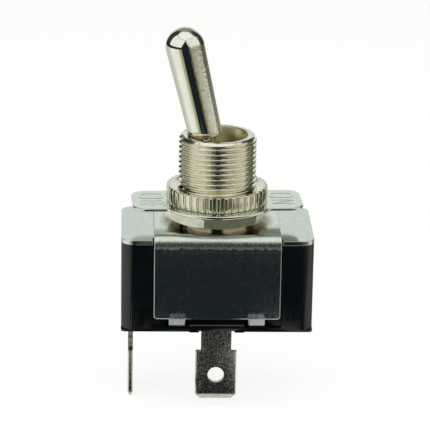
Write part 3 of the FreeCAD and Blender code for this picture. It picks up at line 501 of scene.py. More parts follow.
def rounded_copy(node, name, body, finish, width, segments=2):
    """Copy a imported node, merge it, join its flat faces and round its edges by width."""
    mesh = frame["nodes"][node].data.copy()
    work = bmesh.new()
    work.from_mesh(mesh)
    bmesh.ops.remove_doubles(work, verts=work.verts, dist=MERGE)
    bmesh.ops.dissolve_limit(work, angle_limit=FLAT_ANGLE, verts=work.verts, edges=work.edges)
    work.to_mesh(mesh)
    work.free()
    mesh.name = name
    mesh.shade_smooth()
    mesh.set_sharp_from_angle(angle=EDGE_ANGLE)
    piece = new_piece(name, mesh)
    set_material(piece, finish)
    bevel = piece.modifiers.new("rounded_edges", "BEVEL")
    bevel.width = width
    bevel.segments = segments
    bevel.limit_method = "ANGLE"
    bevel.angle_limit = EDGE_ANGLE
    bevel.harden_normals = True
    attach(piece, body)
    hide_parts(node)
    print(f"{name}: {len(mesh.polygons)} faces before rounding")


rounded_copy("case", "moulded_case", "case_assembly", "phenolic", width=0.18 * MM)
rounded_copy("mounting_strap", "folded_strap", "case_assembly", "strap",
             width=0.15 * MM, segments=3)
rounded_copy("cover_plate", "closing_plate", "case_assembly", "plated_steel",
             width=0.24 * MM, segments=3)
rounded_copy("legend_plate", "stamped_plate", "case_assembly", "legend",
             width=0.16 * MM, segments=3)
rounded_copy("hex_nut", "hexagonal_nut", "hex_nut", "nickel_plate",
             width=0.26 * MM, segments=3)
rounded_copy("common_terminal", "common_tab", "case_assembly", "tinned_brass",
             width=0.1 * MM)
rounded_copy("line_terminal", "line_tab", "case_assembly", "tinned_brass", width=0.1 * MM)

# %% [markdown]
# A turned piece is a section carried round its axis. As arrays, that is a grid: each row is a
# place on the section, each column an angle, and every point is joined to its right and lower
# neighbours. The last column repeats the first, and a row on the axis is one point many times,
# so merging doubles closes both the seam and the poles.

# %% Grid surface


def grid_faces(rows, columns, rows_close):
    """Corner numbers of a grid's quads, with the last row joined to the first if rows_close."""
    last = rows if rows_close else rows - 1
    i, j = np.meshgrid(np.arange(last), np.arange(columns - 1), indexing="ij")
    here = i * columns + j
    under = (i + 1) % rows * columns + j
    return np.stack([here, here + 1, under + 1, under], -1).reshape(-1, 4)


def closed_mesh(name, points, faces, sharp=EDGE_ANGLE, second_material=None):
    """Mesh with its doubles merged and its faces turned outwards; some faces may take material two."""
    mesh = bpy.data.meshes.new(name)
    mesh.from_pydata(points.reshape(-1, 3), [], faces)
    if second_material is not None:
        mesh.polygons.foreach_set("material_index", second_material.astype(np.int32))
    work = bmesh.new()
    work.from_mesh(mesh)
    bmesh.ops.remove_doubles(work, verts=work.verts, dist=0.0001 * MM)
    bmesh.ops.recalc_face_normals(work, faces=work.faces)
    work.to_mesh(mesh)
    work.free()
    mesh.shade_smooth()
    mesh.set_sharp_from_angle(angle=sharp)
    return mesh


def place_piece(name, mesh, body, finishes, node=None):
    """Put a mesh into the scene with its finishes, its body and the node it stands for."""
    piece = new_piece(name, mesh)
    for finish in finishes:
        mesh.materials.append(FINISHES[finish])
    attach(piece, body)
    if node:
        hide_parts(node)
    print(f"{name}: {len(mesh.polygons)} faces")


# %% [markdown]
# The bushing is turned brass with a 15/32-32 thread. Its ridge is a helix, so the rows of the
# grid climb with it: a row keeps its place on the tooth and rises by one pitch a turn. That
# keeps each ridge a clean line, where level rows would cut it to steps. At both ends of the
# thread the rows are held at the end's height, and merging joins them there. The keyway is a
# milled slot: its columns get one flat depth, with a close pair of columns at each wall.

# %% Threaded bushing
THREAD_R = 5.953 * MM
THREAD_PITCH = 25.4 / 32 * MM
THREAD_DEPTH = 0.44 * MM
THREAD_STEPS = 16
THREAD_FOOT = -0.38 * MM
TOOTH_SLOPE = 1.3
TOOTH_ROOT = 0.12
PITCH_R = 5.695 * MM
RIM_R = 5.5 * MM
BUSHING_TOP = 7.95 * MM
ROW_STEP = 0.002 * MM
KEYWAY_WIDTH = 1.9 * MM
KEYWAY_ANGLE = math.radians(192)
KEYWAY_HALF = math.asin(KEYWAY_WIDTH / 2 / THREAD_R)
KEYWAY_WALL = 0.01
KEYWAY_FLOOR_R = THREAD_R - 0.65 * MM
KEYWAY_FOOT = STRAP_TOP + 0.3 * MM
MOUTH_R = 4.55
MOUTH_CHAMFER = 0.15
LIP_R = 3.4
LIP_DEEP = 4.25
BALL_SEAT_R = 4.05
BALL_SEAT_DEG = 32.9
BALL_SEAT_FOOT = -4.4
SKIRT_R = 4.6
SKIRT_FOOT = -6.9
STAKED_RIM_R = 6.3
STAKED_RIM_TOP = -6.45
STAKED_NECK_R = 5.45


def bushing_angles():
    """Even columns over a whole turn, and a close pair at each wall of the keyway."""
    walls = KEYWAY_ANGLE + KEYWAY_HALF * np.array([-1 - KEYWAY_WALL, -1, 1, 1 + KEYWAY_WALL])
    return np.sort(np.concatenate([np.linspace(0, 2 * math.pi, 181), walls]))


def thread_radius(angles, height):
    """Tooth wave at a phase of height over pitch less the share of a turn, rounded by 3t^2 - 2t^3."""
    phase = ((height - THREAD_FOOT) / THREAD_PITCH - angles / (2 * math.pi)) % 1
    tooth = np.clip(TOOTH_SLOPE * (1 - 2 * np.abs(phase - 0.5)) - TOOTH_ROOT, 0, 1)
    tooth = tooth ** 2 * (3 - 2 * tooth)
    return np.minimum(THREAD_R - THREAD_DEPTH * (1 - tooth), RIM_R + BUSHING_TOP - height)


def bushing_outside(angles):
    """Rows of the outside from below: a plain neck in the nuts, then rows that climb with the helix."""
    plain = np.array([STRAP_TOP, KEYWAY_FOOT, KEYWAY_FOOT + ROW_STEP, THREAD_FOOT - ROW_STEP])
    neck = plain[:, None] * np.ones(len(angles))
    turns = math.ceil((BUSHING_TOP - THREAD_FOOT) / THREAD_PITCH) + 1
    share = np.arange(-THREAD_STEPS, turns * THREAD_STEPS)[:, None] / THREAD_STEPS
    climb = THREAD_FOOT + THREAD_PITCH * (share + angles / (2 * math.pi))
    climb = np.clip(climb, THREAD_FOOT, BUSHING_TOP)
    height = np.concatenate([neck, climb])
    radius = np.concatenate([np.full_like(neck, PITCH_R), thread_radius(angles, climb)])
    within = np.abs(angles - KEYWAY_ANGLE) < KEYWAY_HALF * (1 + KEYWAY_WALL / 2)
    in_key = within & (height > KEYWAY_FOOT + ROW_STEP / 2)
    floor = KEYWAY_FLOOR_R / np.cos(angles - KEYWAY_ANGLE)
    return np.where(in_key, np.minimum(radius, floor), radius), height


def bushing_inside():
    """Rows of the inside in mm from above: mouth, lip, ball seat, skirt, staked rim and its neck."""
    top = BUSHING_TOP / MM
    seat = np.radians(np.linspace(BALL_SEAT_DEG, 0, 8))
    mouth = [(MOUTH_R + MOUTH_CHAMFER, top), (MOUTH_R, top - MOUTH_CHAMFER), (MOUTH_R, top - LIP_DEEP),
             (LIP_R, top - LIP_DEEP)]
    ball = np.stack([BALL_SEAT_R * np.cos(seat), PIVOT_Z / MM + BALL_SEAT_R * np.sin(seat)], -1)
    skirt = [(BALL_SEAT_R, BALL_SEAT_FOOT), (SKIRT_R, SKIRT_FOOT), (STAKED_RIM_R, SKIRT_FOOT),
             (STAKED_RIM_R, STAKED_RIM_TOP), (STAKED_NECK_R, STAKED_RIM_TOP),
             (STAKED_NECK_R, STRAP_TOP / MM)]
    return np.concatenate([mouth, ball, skirt])


def threaded_bushing():
    """Closed section: the outside, the bore's mouth and ball seat, and the skirt under the strap."""
    angles = bushing_angles()
    radius, height = bushing_outside(angles)
    inside = bushing_inside() * MM
    ones = np.ones(len(angles))
    radius = np.concatenate([radius, inside[:, :1] * ones])
    height = np.concatenate([height, inside[:, 1:] * ones])
    points = np.stack([radius * np.cos(angles), radius * np.sin(angles), height], axis=-1)
    faces = grid_faces(*radius.shape, True)
    bore = faces.min(axis=1) // len(angles) >= len(radius) - len(inside)
    mesh = closed_mesh("threaded_bushing", points, faces, math.radians(50), bore)
    place_piece("threaded_bushing", mesh, "case_assembly",
                ["nickel_plate", "thin_nickel"], "bushing")


threaded_bushing()

# %% [markdown]
# The face nut's rim is cut with 40 straight grooves by a flat-nosed cutter, which leaves their
# floors duller than the lands, and the grooves' darker tone is painted shade in the hollows. The lands
# keep a small rounded edge, and that edge is what shines. The outline is the lower of rim and
# groove, and a soft minimum rounds the corner where they meet. Rows near the top and bottom edge
# draw the whole outline in by a quarter circle's cosine and sine, less in the grooves than on the lands.

# %% Knurled nut
KNURL_COUNT = 40
KNURLED_R = 7.78 * MM
KNURL_DEPTH = 0.4 * MM
KNURL_FLOOR_HALF = 0.21 * MM
KNURL_WALL_SLOPE = 2.3
KNURL_SOFT = 0.06 * MM
KNURL_TOP_EDGE = 0.16 * MM
KNURL_FOOT_EDGE = 0.34 * MM
KNURL_STEPS = 24
GROOVE_EASE = 0.6
GROOVE_FROM = 0.7
NUT_T = 2.5
NUT_BORE_R = 5.745
DISH_R = 6.9
DISH_DEEP = 0.5
DISH_EDGE = 0.02


def knurl_outline(angles):
    """Soft minimum, -k log(exp(-a/k) + exp(-b/k)), of the rim a and the groove b: a flat and two walls."""
    step = 2 * math.pi / KNURL_COUNT
    across = np.abs((angles / step) % 1 - 0.5) * step * KNURLED_R
    groove = KNURL_WALL_SLOPE * np.clip(across - KNURL_FLOOR_HALF, 0, None) - KNURL_DEPTH
    return KNURLED_R - KNURL_SOFT * np.log(1 + np.exp(-groove / KNURL_SOFT))


def knurled_nut():
    """Closed section of the nut: the grooved rim with its rounded edges, the dished top and the bore."""
    angles = np.linspace(0, 2 * math.pi, KNURL_COUNT * KNURL_STEPS + 1)
    turn = np.radians(np.array([90, 68, 45, 22, 0]))[:, None]
    inset = 1 - np.cos(turn)
    drop = 1 - np.sin(turn)
    outline = knurl_outline(angles)
    keep = 1 - GROOVE_EASE * (KNURLED_R - outline) / KNURL_DEPTH
    flats = np.array([(NUT_BORE_R, -NUT_T), (NUT_BORE_R, -DISH_DEEP), (DISH_R - DISH_EDGE, -DISH_EDGE / 2),
                      (DISH_R + DISH_EDGE, 0)]) * MM
    ones = np.ones(len(angles))
    radius = np.concatenate([flats[:, :1] * ones, outline - KNURL_TOP_EDGE * inset * keep,
                             (outline - KNURL_FOOT_EDGE * inset * keep)[::-1]])
    height = np.concatenate([flats[:, 1:] * ones, -KNURL_TOP_EDGE * drop * ones,
                             (KNURL_FOOT_EDGE * drop[::-1] - NUT_T * MM) * ones])
    points = np.stack([radius * np.cos(angles), radius * np.sin(angles), height], axis=-1)
    faces = grid_faces(*radius.shape, True)
    on_rim = faces.min(axis=1) // len(angles) >= len(flats)
    face_r = np.tile(outline, len(radius))[faces].mean(axis=1)
    # faces deep in the grooves take the rougher finish, whose darker tone is painted shade
    grooves = on_rim & (face_r < KNURLED_R - GROOVE_FROM * KNURL_DEPTH)
    mesh = closed_mesh("knurled_face_nut", points, faces, second_material=grooves)
    place_piece("knurled_face_nut", mesh, "knurled_nut",
                ["nickel_plate", "cut_nickel_with_painted_shade"], "knurled_nut")


knurled_nut()

# %% [markdown]
# The lever is a polished bat: a ball in the bushing, a neck with two flats, and a slightly
# flared bat with a round head. A mirror shows every facet, so the surface is worked out finely
# from its half section, and leaned over by the toggle's angle about the pivot. What lies below
# the bat's foot was not polished, and takes the satin plate.

# %% Bat lever
BALL_R = 4.0
NECK_R = 1.75
NECK_FLAT_Y = 1.3 * MM
BAT_START = 7.8
BAT_TIP = 25.4
BAT_FOOT_R = 2.56
BAT_HEAD_R = 2.95
FOOT_CHAMFER = 0.42
FLAT_FROM = 4.5
FLAT_STEP = 0.01
TAIL_R = 2.4
TAIL_REACH = 7.5
TAIL_CHAMFER = 0.3
TAIL_BORE_R = 1.65
TAIL_BORE_TOP = 1.75


def arc_rows(centre, radius, start, end, count):
    """Rows of an arc in a half section, between two angles in degrees from the level."""
    turn = np.radians(np.linspace(start, end, count))
    return np.stack([radius * np.cos(turn), centre + radius * np.sin(turn)], axis=-1)


def lever_section():
    """Half section in mm from the pivot: drilled tail, ball, neck, foot, bat and head."""
    head_z = BAT_TIP - BAT_HEAD_R
    slant = math.degrees(math.atan2(BAT_HEAD_R - BAT_FOOT_R, head_z - BAT_START))
    tail = np.array([(0, -TAIL_BORE_TOP), (TAIL_BORE_R, -TAIL_BORE_TOP), (TAIL_BORE_R, -TAIL_REACH),
                     (TAIL_R - TAIL_CHAMFER, -TAIL_REACH), (TAIL_R, TAIL_CHAMFER - TAIL_REACH)])
    ball_ends = np.degrees(np.arccos(np.array([TAIL_R, NECK_R]) / BALL_R))
    ball = arc_rows(0, BALL_R, -ball_ends[0], ball_ends[1], 40)
    foot = np.array([(NECK_R, FLAT_FROM - FLAT_STEP), (NECK_R, FLAT_FROM), (NECK_R, BAT_START),
                     (BAT_FOOT_R - FOOT_CHAMFER, BAT_START), (BAT_FOOT_R, BAT_START + FOOT_CHAMFER)])
    bat = np.stack([np.linspace(BAT_FOOT_R, BAT_HEAD_R, 12),
                    np.linspace(BAT_START + FOOT_CHAMFER, head_z, 12)], -1)[1:-1]
    head = arc_rows(head_z, BAT_HEAD_R, -slant, 90, 48)
    head[-1, 0] = 0
    return np.concatenate([tail, ball, foot, bat, head])


def bat_lever():
    """Carry the section round the lever's axis, press the flats into the neck, and lean it."""
    section = lever_section() * MM
    angles = np.linspace(0, 2 * math.pi, 129)
    x = section[:, :1] * np.cos(angles)
    y = section[:, :1] * np.sin(angles)
    height = section[:, 1:] * np.ones(len(angles))
    foot_z = (BAT_START + FLAT_STEP / 10) * MM
    neck = (height > (FLAT_FROM - FLAT_STEP / 2) * MM) & (height < foot_z)
    neck &= section[:, :1] < (NECK_R + FLAT_STEP) * MM
    y = np.where(neck, np.clip(y, -NECK_FLAT_Y, NECK_FLAT_Y), y)
    leaned_x = x * math.cos(LEAN) + height * math.sin(LEAN)
    leaned_z = height * math.cos(LEAN) - x * math.sin(LEAN) + PIVOT_Z
    faces = grid_faces(*x.shape, False)
    below_foot = height.reshape(-1)[faces[:, 3]] < foot_z
    points = np.stack([leaned_x, y, leaned_z], axis=-1)
    mesh = closed_mesh("bat_lever", points, faces, second_material=below_foot)
    place_piece("bat_lever", mesh, "lever_assembly",
                ["bright_nickel", "nickel_plate"], "lever")


bat_lever()

# %% [markdown]
# ON and OFF are embossed on the plate's two ends as thin raised lines, read from the back.
# Each stroke is a bead with an elliptic section, half sunk in the plate. It thins out to a
# point at both ends as a circle does, and the O is a bead that runs into itself.

# %% Embossed words
PLATE_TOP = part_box("legend_plate")[1].z
PLATE_TURN = math.radians(2.4)
BEAD_HALF = 0.22 * MM
BEAD_RISE = 0.06 * MM
LETTER_TALL = 3.5
LETTER_STARTS = (3.55, 5.15)
WORD_BACK = 2.9
WORD_AT = 10.1 * MM
LOOP_HALF = 1.15
LOOP_POWER = 0.6
F_STROKES = [((0, 0), (0, 1)), ((0, 1), (1.15, 1)), ((0, 0.52), (0.9, 0.52))]
N_STROKES = [((0, 0), (0, 1)), ((0, 1), (1.7, 0)), ((1.7, 0), (1.7, 1))]


def letter_line(ends, start):
    """A straight stroke's points: across in mm from the letter's start, up as a share of its height."""
    share = (0.5 - 0.5 * np.cos(np.linspace(0, math.pi, 21)))[:, None]
    line = np.array(ends[0]) + (np.array(ends[1]) - np.array(ends[0])) * share
    return line + np.array([start, 0])


def letter_loop():
    """The O: a loop whose corners are squared by a power of sine and cosine."""
    turn = np.linspace(0, 2 * math.pi, 49)
    cosine, sine = (np.sign(wave) * np.abs(wave) ** LOOP_POWER for wave in (np.cos(turn), np.sin(turn)))
    return np.stack([LOOP_HALF + LOOP_HALF * cosine, 0.5 + 0.5 * sine], axis=-1)


def bead(line, closed):
    """Bead along a line: an ellipse across it, thinned by the root of 1 - (1 - s)^2 over its end."""
    forward = np.gradient(line, axis=0)
    if closed:
        forward[[0, -1]] = line[1] - line[-2]
    forward /= np.linalg.norm(forward, axis=1, keepdims=True)
    side = np.stack([-forward[:, 1], forward[:, 0]], axis=-1)
    from_end = np.minimum(np.linalg.norm(line - line[0], axis=1), np.linalg.norm(line - line[-1], axis=1))
    share = np.ones(len(line)) if closed else np.clip(from_end / BEAD_HALF, 0, 1)
    thin = np.sqrt(1 - (1 - share) ** 2)[:, None]
    turn = np.linspace(0, 2 * math.pi, 17)
    flat = line[:, None, :] + side[:, None, :] * (thin * np.cos(turn) * BEAD_HALF)[:, :, None]
    return np.concatenate([flat, (thin * np.sin(turn) * BEAD_RISE)[:, :, None]], axis=-1)


def embossed_word(name, lines, middle_x):
    """A word's beads as one mesh: up runs along X, across from the back, turned with the plate."""
    points = []
    faces = []
    for line, closed in lines:
        x = middle_x + (line[:, 1] - 0.5) * LETTER_TALL * MM
        y = (WORD_BACK - line[:, 0]) * MM
        beads = bead(np.stack([x, y], axis=-1), closed)
        faces.append(grid_faces(*beads.shape[:2], False) + sum(len(p) for p in points))
        points.append(beads.reshape(-1, 3))
    flat = np.concatenate(points)
    x = flat[:, 0] * math.cos(PLATE_TURN) - flat[:, 1] * math.sin(PLATE_TURN)
    y = flat[:, 0] * math.sin(PLATE_TURN) + flat[:, 1] * math.cos(PLATE_TURN)
    mesh = closed_mesh(name, np.stack([x, y, flat[:, 2] + PLATE_TOP], axis=-1), np.concatenate(faces))
    place_piece(name, mesh, "case_assembly", ["legend"])


LOOP = [(letter_loop(), True)]
TWO_F = [(letter_line(ends, start), False) for start in LETTER_STARTS for ends in F_STROKES]
ONE_N = [(letter_line(ends, LETTER_STARTS[0]), False) for ends in N_STROKES]
embossed_word("embossed_off", LOOP + TWO_F, -WORD_AT)
embossed_word("embossed_on", LOOP + ONE_N, WORD_AT)

# %% [markdown]
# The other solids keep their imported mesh, and each gets the finish of its slot.

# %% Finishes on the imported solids
SLOTS = {row["node"]: row["material_slot"] for row in frame["record"]["subparts"]}
for node, slot_name in SLOTS.items():
    set_material(frame["nodes"][node], slot_name)
print(len(SLOTS), "packed solids have a finish")

# %% [markdown]
# The floor is plain and pale. It gives the camera and the metal its own near-white, and takes
# some light as well, so that the switch still casts a faint shadow on it.

# %% Floor
REACH = 4.0
FLOOR_GLOW = 0.86
FLOOR_TAKES = (0.25, 0.25, 0.25, 1)
FLOOR_TONE = (0.8, 0.8, 0.8, 1)


def flat_sheet(name, corners, material):
    """One flat face from its corners, linked into the scene."""
    mesh = bpy.data.meshes.new(name)
    mesh.from_pydata(corners, [], [tuple(range(len(corners)))])
    mesh.materials.append(material)
    piece = new_piece(name, mesh)
    print(f"{name} at {round(corners[0][2] / MM, 2)} mm")


def floor_material():
    """Pale floor: mostly its own light to the camera and to metal, with a share that takes shadow."""
    material, tree, shader = new_material("pale_floor", Roughness=0.9)
    shader.inputs["Base Color"].default_value = FLOOR_TONE
    rays = add(tree, "ShaderNodeLightPath").outputs
    seen = add(tree, "ShaderNodeMath", {
        0: rays["Is Camera Ray"], 1: rays["Is Glossy Ray"]}, operation="ADD")
    seen = add(tree, "ShaderNodeMath", {
        0: seen, 1: rays["Is Transmission Ray"]}, operation="ADD", use_clamp=True)
    own = add(tree, "ShaderNodeEmission", {"Color": (1, 1, 1, 1), "Strength": FLOOR_GLOW})
    takes = add(tree, "ShaderNodeBsdfDiffuse", {"Color": FLOOR_TAKES})
    both = add(tree, "ShaderNodeAddShader", {0: own, 1: takes})
    mixed = add(tree, "ShaderNodeMixShader", {"Fac": seen, 1: shader, 2: both})
    tree.links.new(mixed.outputs[0], tree.nodes["Material Output"].inputs["Surface"])
    return material


flat_sheet("studio_floor", [(-REACH, -REACH, FLOOR), (REACH, -REACH, FLOOR), (REACH, REACH, FLOOR),
                            (-REACH, REACH, FLOOR)], floor_material())

# %% [markdown]
# Polished metal shows the room, so the room is what lights it: a white tent of two side walls
# and a roof with thin dark seams between them. The tent opens towards the camera, and that
# dark opening, widest at the floor, gives the bat's head its dark wedge. Behind each side
# wall's end hangs a dark curtain, which gives the round pieces their darker edges. All are
# parts of a sphere, since only their direction from the switch counts. Angles here are in
# degrees: azimuth, from the camera's side, and elevation.

# %% Tent
TENT_R = 0.55
BEHIND_R = TENT_R * 1.02
SEAM_AT = np.array([0, 6, 75, 102, 180])
SEAM_HIGH = np.array([50, 50.3, 56, 58.4, 76])
SEAM_GAP = 1.0
TENT_FOOT = -3.4
TENT_SIDE = 103.0
OPENING_HALF = 29.0
OPENING_SLIT = 0.6
FELT_HALF = 34
FELT_TOP = 42
CURTAIN_START = TENT_SIDE - 2
CURTAIN_END = 150.0
CURTAIN_TOP = 62
FELT = "#1e252a"


def glow(name, colour, strength):
    """Plain light-giving cloth."""
    material = bpy.data.materials.new(name)
    material.use_nodes = True
    tree = material.node_tree
    tree.nodes.remove(tree.nodes["Principled BSDF"])
    light = add(tree, "ShaderNodeEmission", {"Color": linear(colour), "Strength": strength})
    tree.links.new(light.outputs[0], tree.nodes["Material Output"].inputs["Surface"])
    return material


def stage_grid(name, points, material):
    """A grid of points as a sheet of the stage, out of the camera's sight."""
    mesh = bpy.data.meshes.new(name)
    mesh.from_pydata(points.reshape(-1, 3), [], grid_faces(*points.shape[:2], False))
    mesh.materials.append(material)
    piece = new_piece(name, mesh)
    piece.visible_camera = False
    return piece


def tent_panel(name, azimuth, elevation, material, reach=TENT_R):
    """Part of a sphere: x is the sine and y minus the cosine of azimuth, by cosine of elevation."""
    turn = np.radians(azimuth)
    rise = np.radians(elevation)
    points = np.stack([np.cos(rise) * np.sin(turn), -np.cos(rise) * np.cos(turn), np.sin(rise)], axis=-1)
    stage_grid(name, reach * points, material)


def upright_grid(foot, top, start, end):
    """Elevations and azimuths of a panel with level and upright edges."""
    return np.meshgrid(np.linspace(foot, top, 12), np.linspace(start, end, 12), indexing="ij")


def seam(azimuths):
    """Height of the seam between wall and roof, in degrees, at each azimuth."""
    return np.interp(np.abs(azimuths), SEAM_AT, SEAM_HIGH)


def tent_wall(name, side, material):
    """Wall on one side: its inner edge slants from the opening's foot to the seam's middle."""
    up, round_by = np.meshgrid(np.linspace(0, 1, 32), np.linspace(0, 1, 48), indexing="ij")
    inner = OPENING_HALF * (1 - up) + OPENING_SLIT
    azimuth = side * (inner + (TENT_SIDE - inner) * round_by)
    elevation = TENT_FOOT + (seam(azimuth) - SEAM_GAP - TENT_FOOT) * up
    tent_panel(name, azimuth, elevation, material)


tent_wall("tent_left", -1, glow("tent_cloth_left", "#fbfdf9", 1.03))
tent_wall("tent_right", 1, glow("tent_cloth_right", "#fdfcf4", 0.95))
roof_up, roof_round = np.meshgrid(np.linspace(0, 1, 24), np.linspace(-180, 180, 121), indexing="ij")
roof_foot = seam(roof_round) + SEAM_GAP
tent_panel("tent_roof", roof_round, roof_foot + (90 - roof_foot) * roof_up,
           glow("tent_cloth_roof", "#fdfff9", 1.05))
felt_up, felt_round = upright_grid(TENT_FOOT, FELT_TOP, -FELT_HALF, FELT_HALF)
DARK_FELT = glow("dark_felt", FELT, 1.0)
tent_panel("tent_opening", felt_round, felt_up, DARK_FELT, BEHIND_R)
curtain_cloth = glow("dark_curtain", "#3d3c35", 1.0)
for name, side in (("side_curtain_left", -1), ("side_curtain_right", 1)):
    up, round_by = upright_grid(TENT_FOOT, CURTAIN_TOP, side * CURTAIN_START, side * CURTAIN_END)
    tent_panel(name, round_by, up, curtain_cloth, BEHIND_R)
print("tent is up, its opening", round(2 * OPENING_HALF), "degrees wide at the floor")

# %% [markdown]
# Between the floor and the tent's foot the room is dark, as behind a table's edge. A low dark
# wall round the table gives the bat's head the thin dark line under its bright windows. On the
# right it starts higher up, which keeps the bat's right side bright.

# %% Dark wall
WALL_R = 0.4
WALL_TOP = 0.048
WALL_STEP_AT = 25
WALL_RIGHT_FOOT = 2 * MM


def stage_sheet(name, x, y, z, material):
    """A grid of the stage that only reflections see: no camera, no light on the floor, no shadow."""
    piece = stage_grid(name, np.stack(np.broadcast_arrays(x, y, z), axis=-1), material)
    piece.visible_diffuse = False
    piece.visible_shadow = False


TABLE_EDGE = glow("dark_table_edge", "#2b2b27", 1.0)
for name, start, end, foot in (("dark_wall_left", -CURTAIN_END, WALL_STEP_AT, FLOOR),
                               ("dark_wall_right", WALL_STEP_AT, CURTAIN_END, WALL_RIGHT_FOOT)):
    round_wall = np.radians(np.linspace(start, end, 60))[None, :]
    stage_sheet(name, WALL_R * np.sin(round_wall), -WALL_R * np.cos(round_wall),
                np.array([[foot], [WALL_TOP]]), TABLE_EDGE)
    print(f"{name}: {round((WALL_TOP - foot) / MM)} mm high")

# %% [markdown]
# Upright metal mirrors the floor around it, since the camera looks down by 18 degrees. Striped
# cloth lies there, out of the camera's own sight, in four rings: the strap's flange mirrors
# the first, the nuts the second, the lever the other two. Each ring's colour depends only on
# the direction from the switch. A dark part in front gives the lever its black stripe and the
# strap its dark mirror, and grey parts give the stripes beside it. Nearer in, narrow dark
# strips do the same for the terminals. A stripe is an azimuth in degrees and the colour there,
# and a ring starts with its two radii in metres.

# %% Striped cloth
CLOTH_Z = FLOOR + 0.3 * MM
STRIP_Z = CLOTH_Z + 0.1 * MM
NEAR_STRIP_X = np.array([[-4.2, 4.2], [-4.2, 4.2], [-14, 14]]) * MM
NEAR_STRIP_Y = np.array([[-9], [-32], [-48]]) * MM
SIDE_STRIP_X = np.array([-15.5, -11.8]) * MM
SIDE_STRIP_Y = np.array([[-4], [-48]]) * MM
LEFT_STRIPES = [(-180, "#c9cfc6"), (-128, "#c9cfc6"), (-104, "#dcded2"), (-86, "#ffffff"), (-60, "#fcfbf4"),
                (-41, "#f2f1e5"), (-36, "#b9c2aa"), (-23, "#9aa68b"), (-18.5, FELT)]
REAR = [(80, "#f0efe6"), (97, "#f0efe6"), (102, "#918f86"), (180, "#918f86")]
RINGS = [
    (0.047, 0.090, [(24, FELT), (28, "#6c6c60"), (40, "#9a9c8e"), (60, "#c8c8ba")] + REAR),
    (0.090, 0.125, [(-8, FELT), (-4, "#5a5c50"), (42, "#5e6256"), (52, "#7c8074"), (64, "#c8c8ba")] + REAR),
    (0.125, 0.29, [(20, FELT), (25, "#6f6a58"), (37, "#b0ae92"), (51, "#dcd9c5"), (66, "#e8e6d5"),
                   (96, "#e3e1d1"), (104, "#a0a48e"), (180, "#8a8c80")]),
    (0.29, 0.9, [(20, FELT), (26, "#5d5a50"), (37, "#757a6a"), (52, "#7d8474"), (66, "#b4b9aa"),
                 (80, "#ccceba"), (96, "#e3e1d1"), (106, "#9a9a88"), (180, "#787a6b")]),
]


def striped_cloth(name, stripes):
    """Emission whose colour is read off a ramp at the azimuth, the arc tangent of x over -y."""
    material = glow(name, "#ffffff", 1.0)
    tree = material.node_tree
    place = add(tree, "ShaderNodeTexCoord").outputs["Object"]
    along = add(tree, "ShaderNodeSeparateXYZ", {"Vector": place}).outputs
    forward = add(tree, "ShaderNodeMath", {0: along["Y"], 1: -1.0}, operation="MULTIPLY")
    azimuth = add(tree, "ShaderNodeMath", {0: along["X"], 1: forward}, operation="ARCTAN2")
    share = add(tree, "ShaderNodeMapRange", {"Value": azimuth, "From Min": -math.pi, "From Max": math.pi})
    ramp = add(tree, "ShaderNodeValToRGB", {"Fac": share})
    stops = ramp.color_ramp.elements
    for degrees, _ in stripes[1:-1]:
        stops.new(degrees / 360 + 0.5)
    for stop, (_, colour) in zip(stops, stripes):
        stop.color = linear(colour)
    tree.links.new(ramp.outputs["Color"], tree.nodes["Emission"].inputs["Color"])
    return material


turn = np.linspace(-math.pi, math.pi, 97)[None, :]
for number, (inner, outer, stripes) in enumerate(RINGS, 1):
    reach = np.array([[inner], [outer]])
    stage_sheet(f"floor_cloth_{number}", reach * np.sin(turn), -reach * np.cos(turn), CLOTH_Z,
                striped_cloth(f"striped_cloth_{number}", LEFT_STRIPES + stripes))
stage_sheet("near_strip", NEAR_STRIP_X, NEAR_STRIP_Y, STRIP_Z, DARK_FELT)
stage_sheet("side_strip", SIDE_STRIP_X, SIDE_STRIP_Y, STRIP_Z, DARK_FELT)
print(len(RINGS), "rings of striped cloth")

# %% [markdown]
# The world is white to the camera. To the metal it is a room: bright near the horizon and
# greyer above it, which is what the back of every round piece mirrors.

# %% World
HORIZON_TOP = 0.38
UPPER_FOOT = 0.5


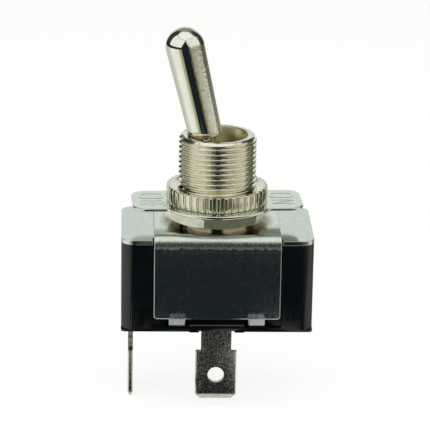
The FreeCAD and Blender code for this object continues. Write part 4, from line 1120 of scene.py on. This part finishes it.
def studio_world():
    """White to the camera, and to other rays a bright horizon under a grey-brown upper room."""
    world = bpy.data.worlds.new("studio_room")
    bpy.context.scene.world = world
    world.use_nodes = True
    tree = world.node_tree
    place = add(tree, "ShaderNodeTexCoord").outputs["Generated"]
    height = add(tree, "ShaderNodeSeparateXYZ", {"Vector": place}).outputs["Z"]
    upper = add(tree, "ShaderNodeMapRange", {
        "Value": height, "From Min": HORIZON_TOP, "From Max": UPPER_FOOT})
    room = add(tree, "ShaderNodeMix", {"Factor": upper}, data_type="RGBA")
    room.inputs["A"].default_value = linear("#e6eeea")
    room.inputs["B"].default_value = linear("#95928a")
    seen = add(tree, "ShaderNodeLightPath").outputs["Is Camera Ray"]
    mixed = add(tree, "ShaderNodeMix", {"Factor": seen}, data_type="RGBA")
    tree.links.new(room.outputs["Result"], mixed.inputs["A"])
    mixed.inputs["B"].default_value = (1, 1, 1, 1)
    tree.links.new(mixed.outputs["Result"], tree.nodes["Background"].inputs["Color"])
    tree.nodes["Background"].inputs["Strength"].default_value = 1.0


studio_world()
bpy.context.scene.view_settings.view_transform = "Standard"
print("upper room starts", round(math.degrees(math.asin(HORIZON_TOP))), "degrees up")

# %% [markdown]
# The camera stands where the photographer's did: 375 mm away, 18 degrees above level, a little
# to the off side, with a long lens. It leans by one degree, and the picture is framed a touch high.

# %% Camera
CAMERA_AT = Vector((-13.26, -356.20, 109.50)) * MM
AIM_AT = Vector((0, 0, -6.45)) * MM
ROLL = math.radians(0.974)
FOCAL_PIXELS = 2421.94
PICTURE_PIXELS = 430
AIM_RIGHT = 1.43
AIM_BELOW = 8.53


def place_camera():
    """Aim along the line to the target, with the picture's right side turned up by the roll."""
    data = bpy.data.cameras.new("camera")
    data.sensor_width = 36
    data.lens = FOCAL_PIXELS / PICTURE_PIXELS * data.sensor_width
    data.shift_x = -AIM_RIGHT / PICTURE_PIXELS
    data.shift_y = AIM_BELOW / PICTURE_PIXELS
    data.clip_start = 0.01
    camera = new_piece("camera", data)
    forward = (AIM_AT - CAMERA_AT).normalized()
    level = forward.cross(Vector((0, 0, 1))).normalized()
    upward = level.cross(forward)
    across = level * math.cos(ROLL) + upward * math.sin(ROLL)
    turned = Matrix((across, across.cross(forward), -forward)).transposed().to_4x4()
    camera.matrix_world = Matrix.Translation(CAMERA_AT) @ turned
    bpy.context.scene.camera = camera
    print("camera distance in mm:", round((AIM_AT - CAMERA_AT).length / MM, 1))


place_camera()
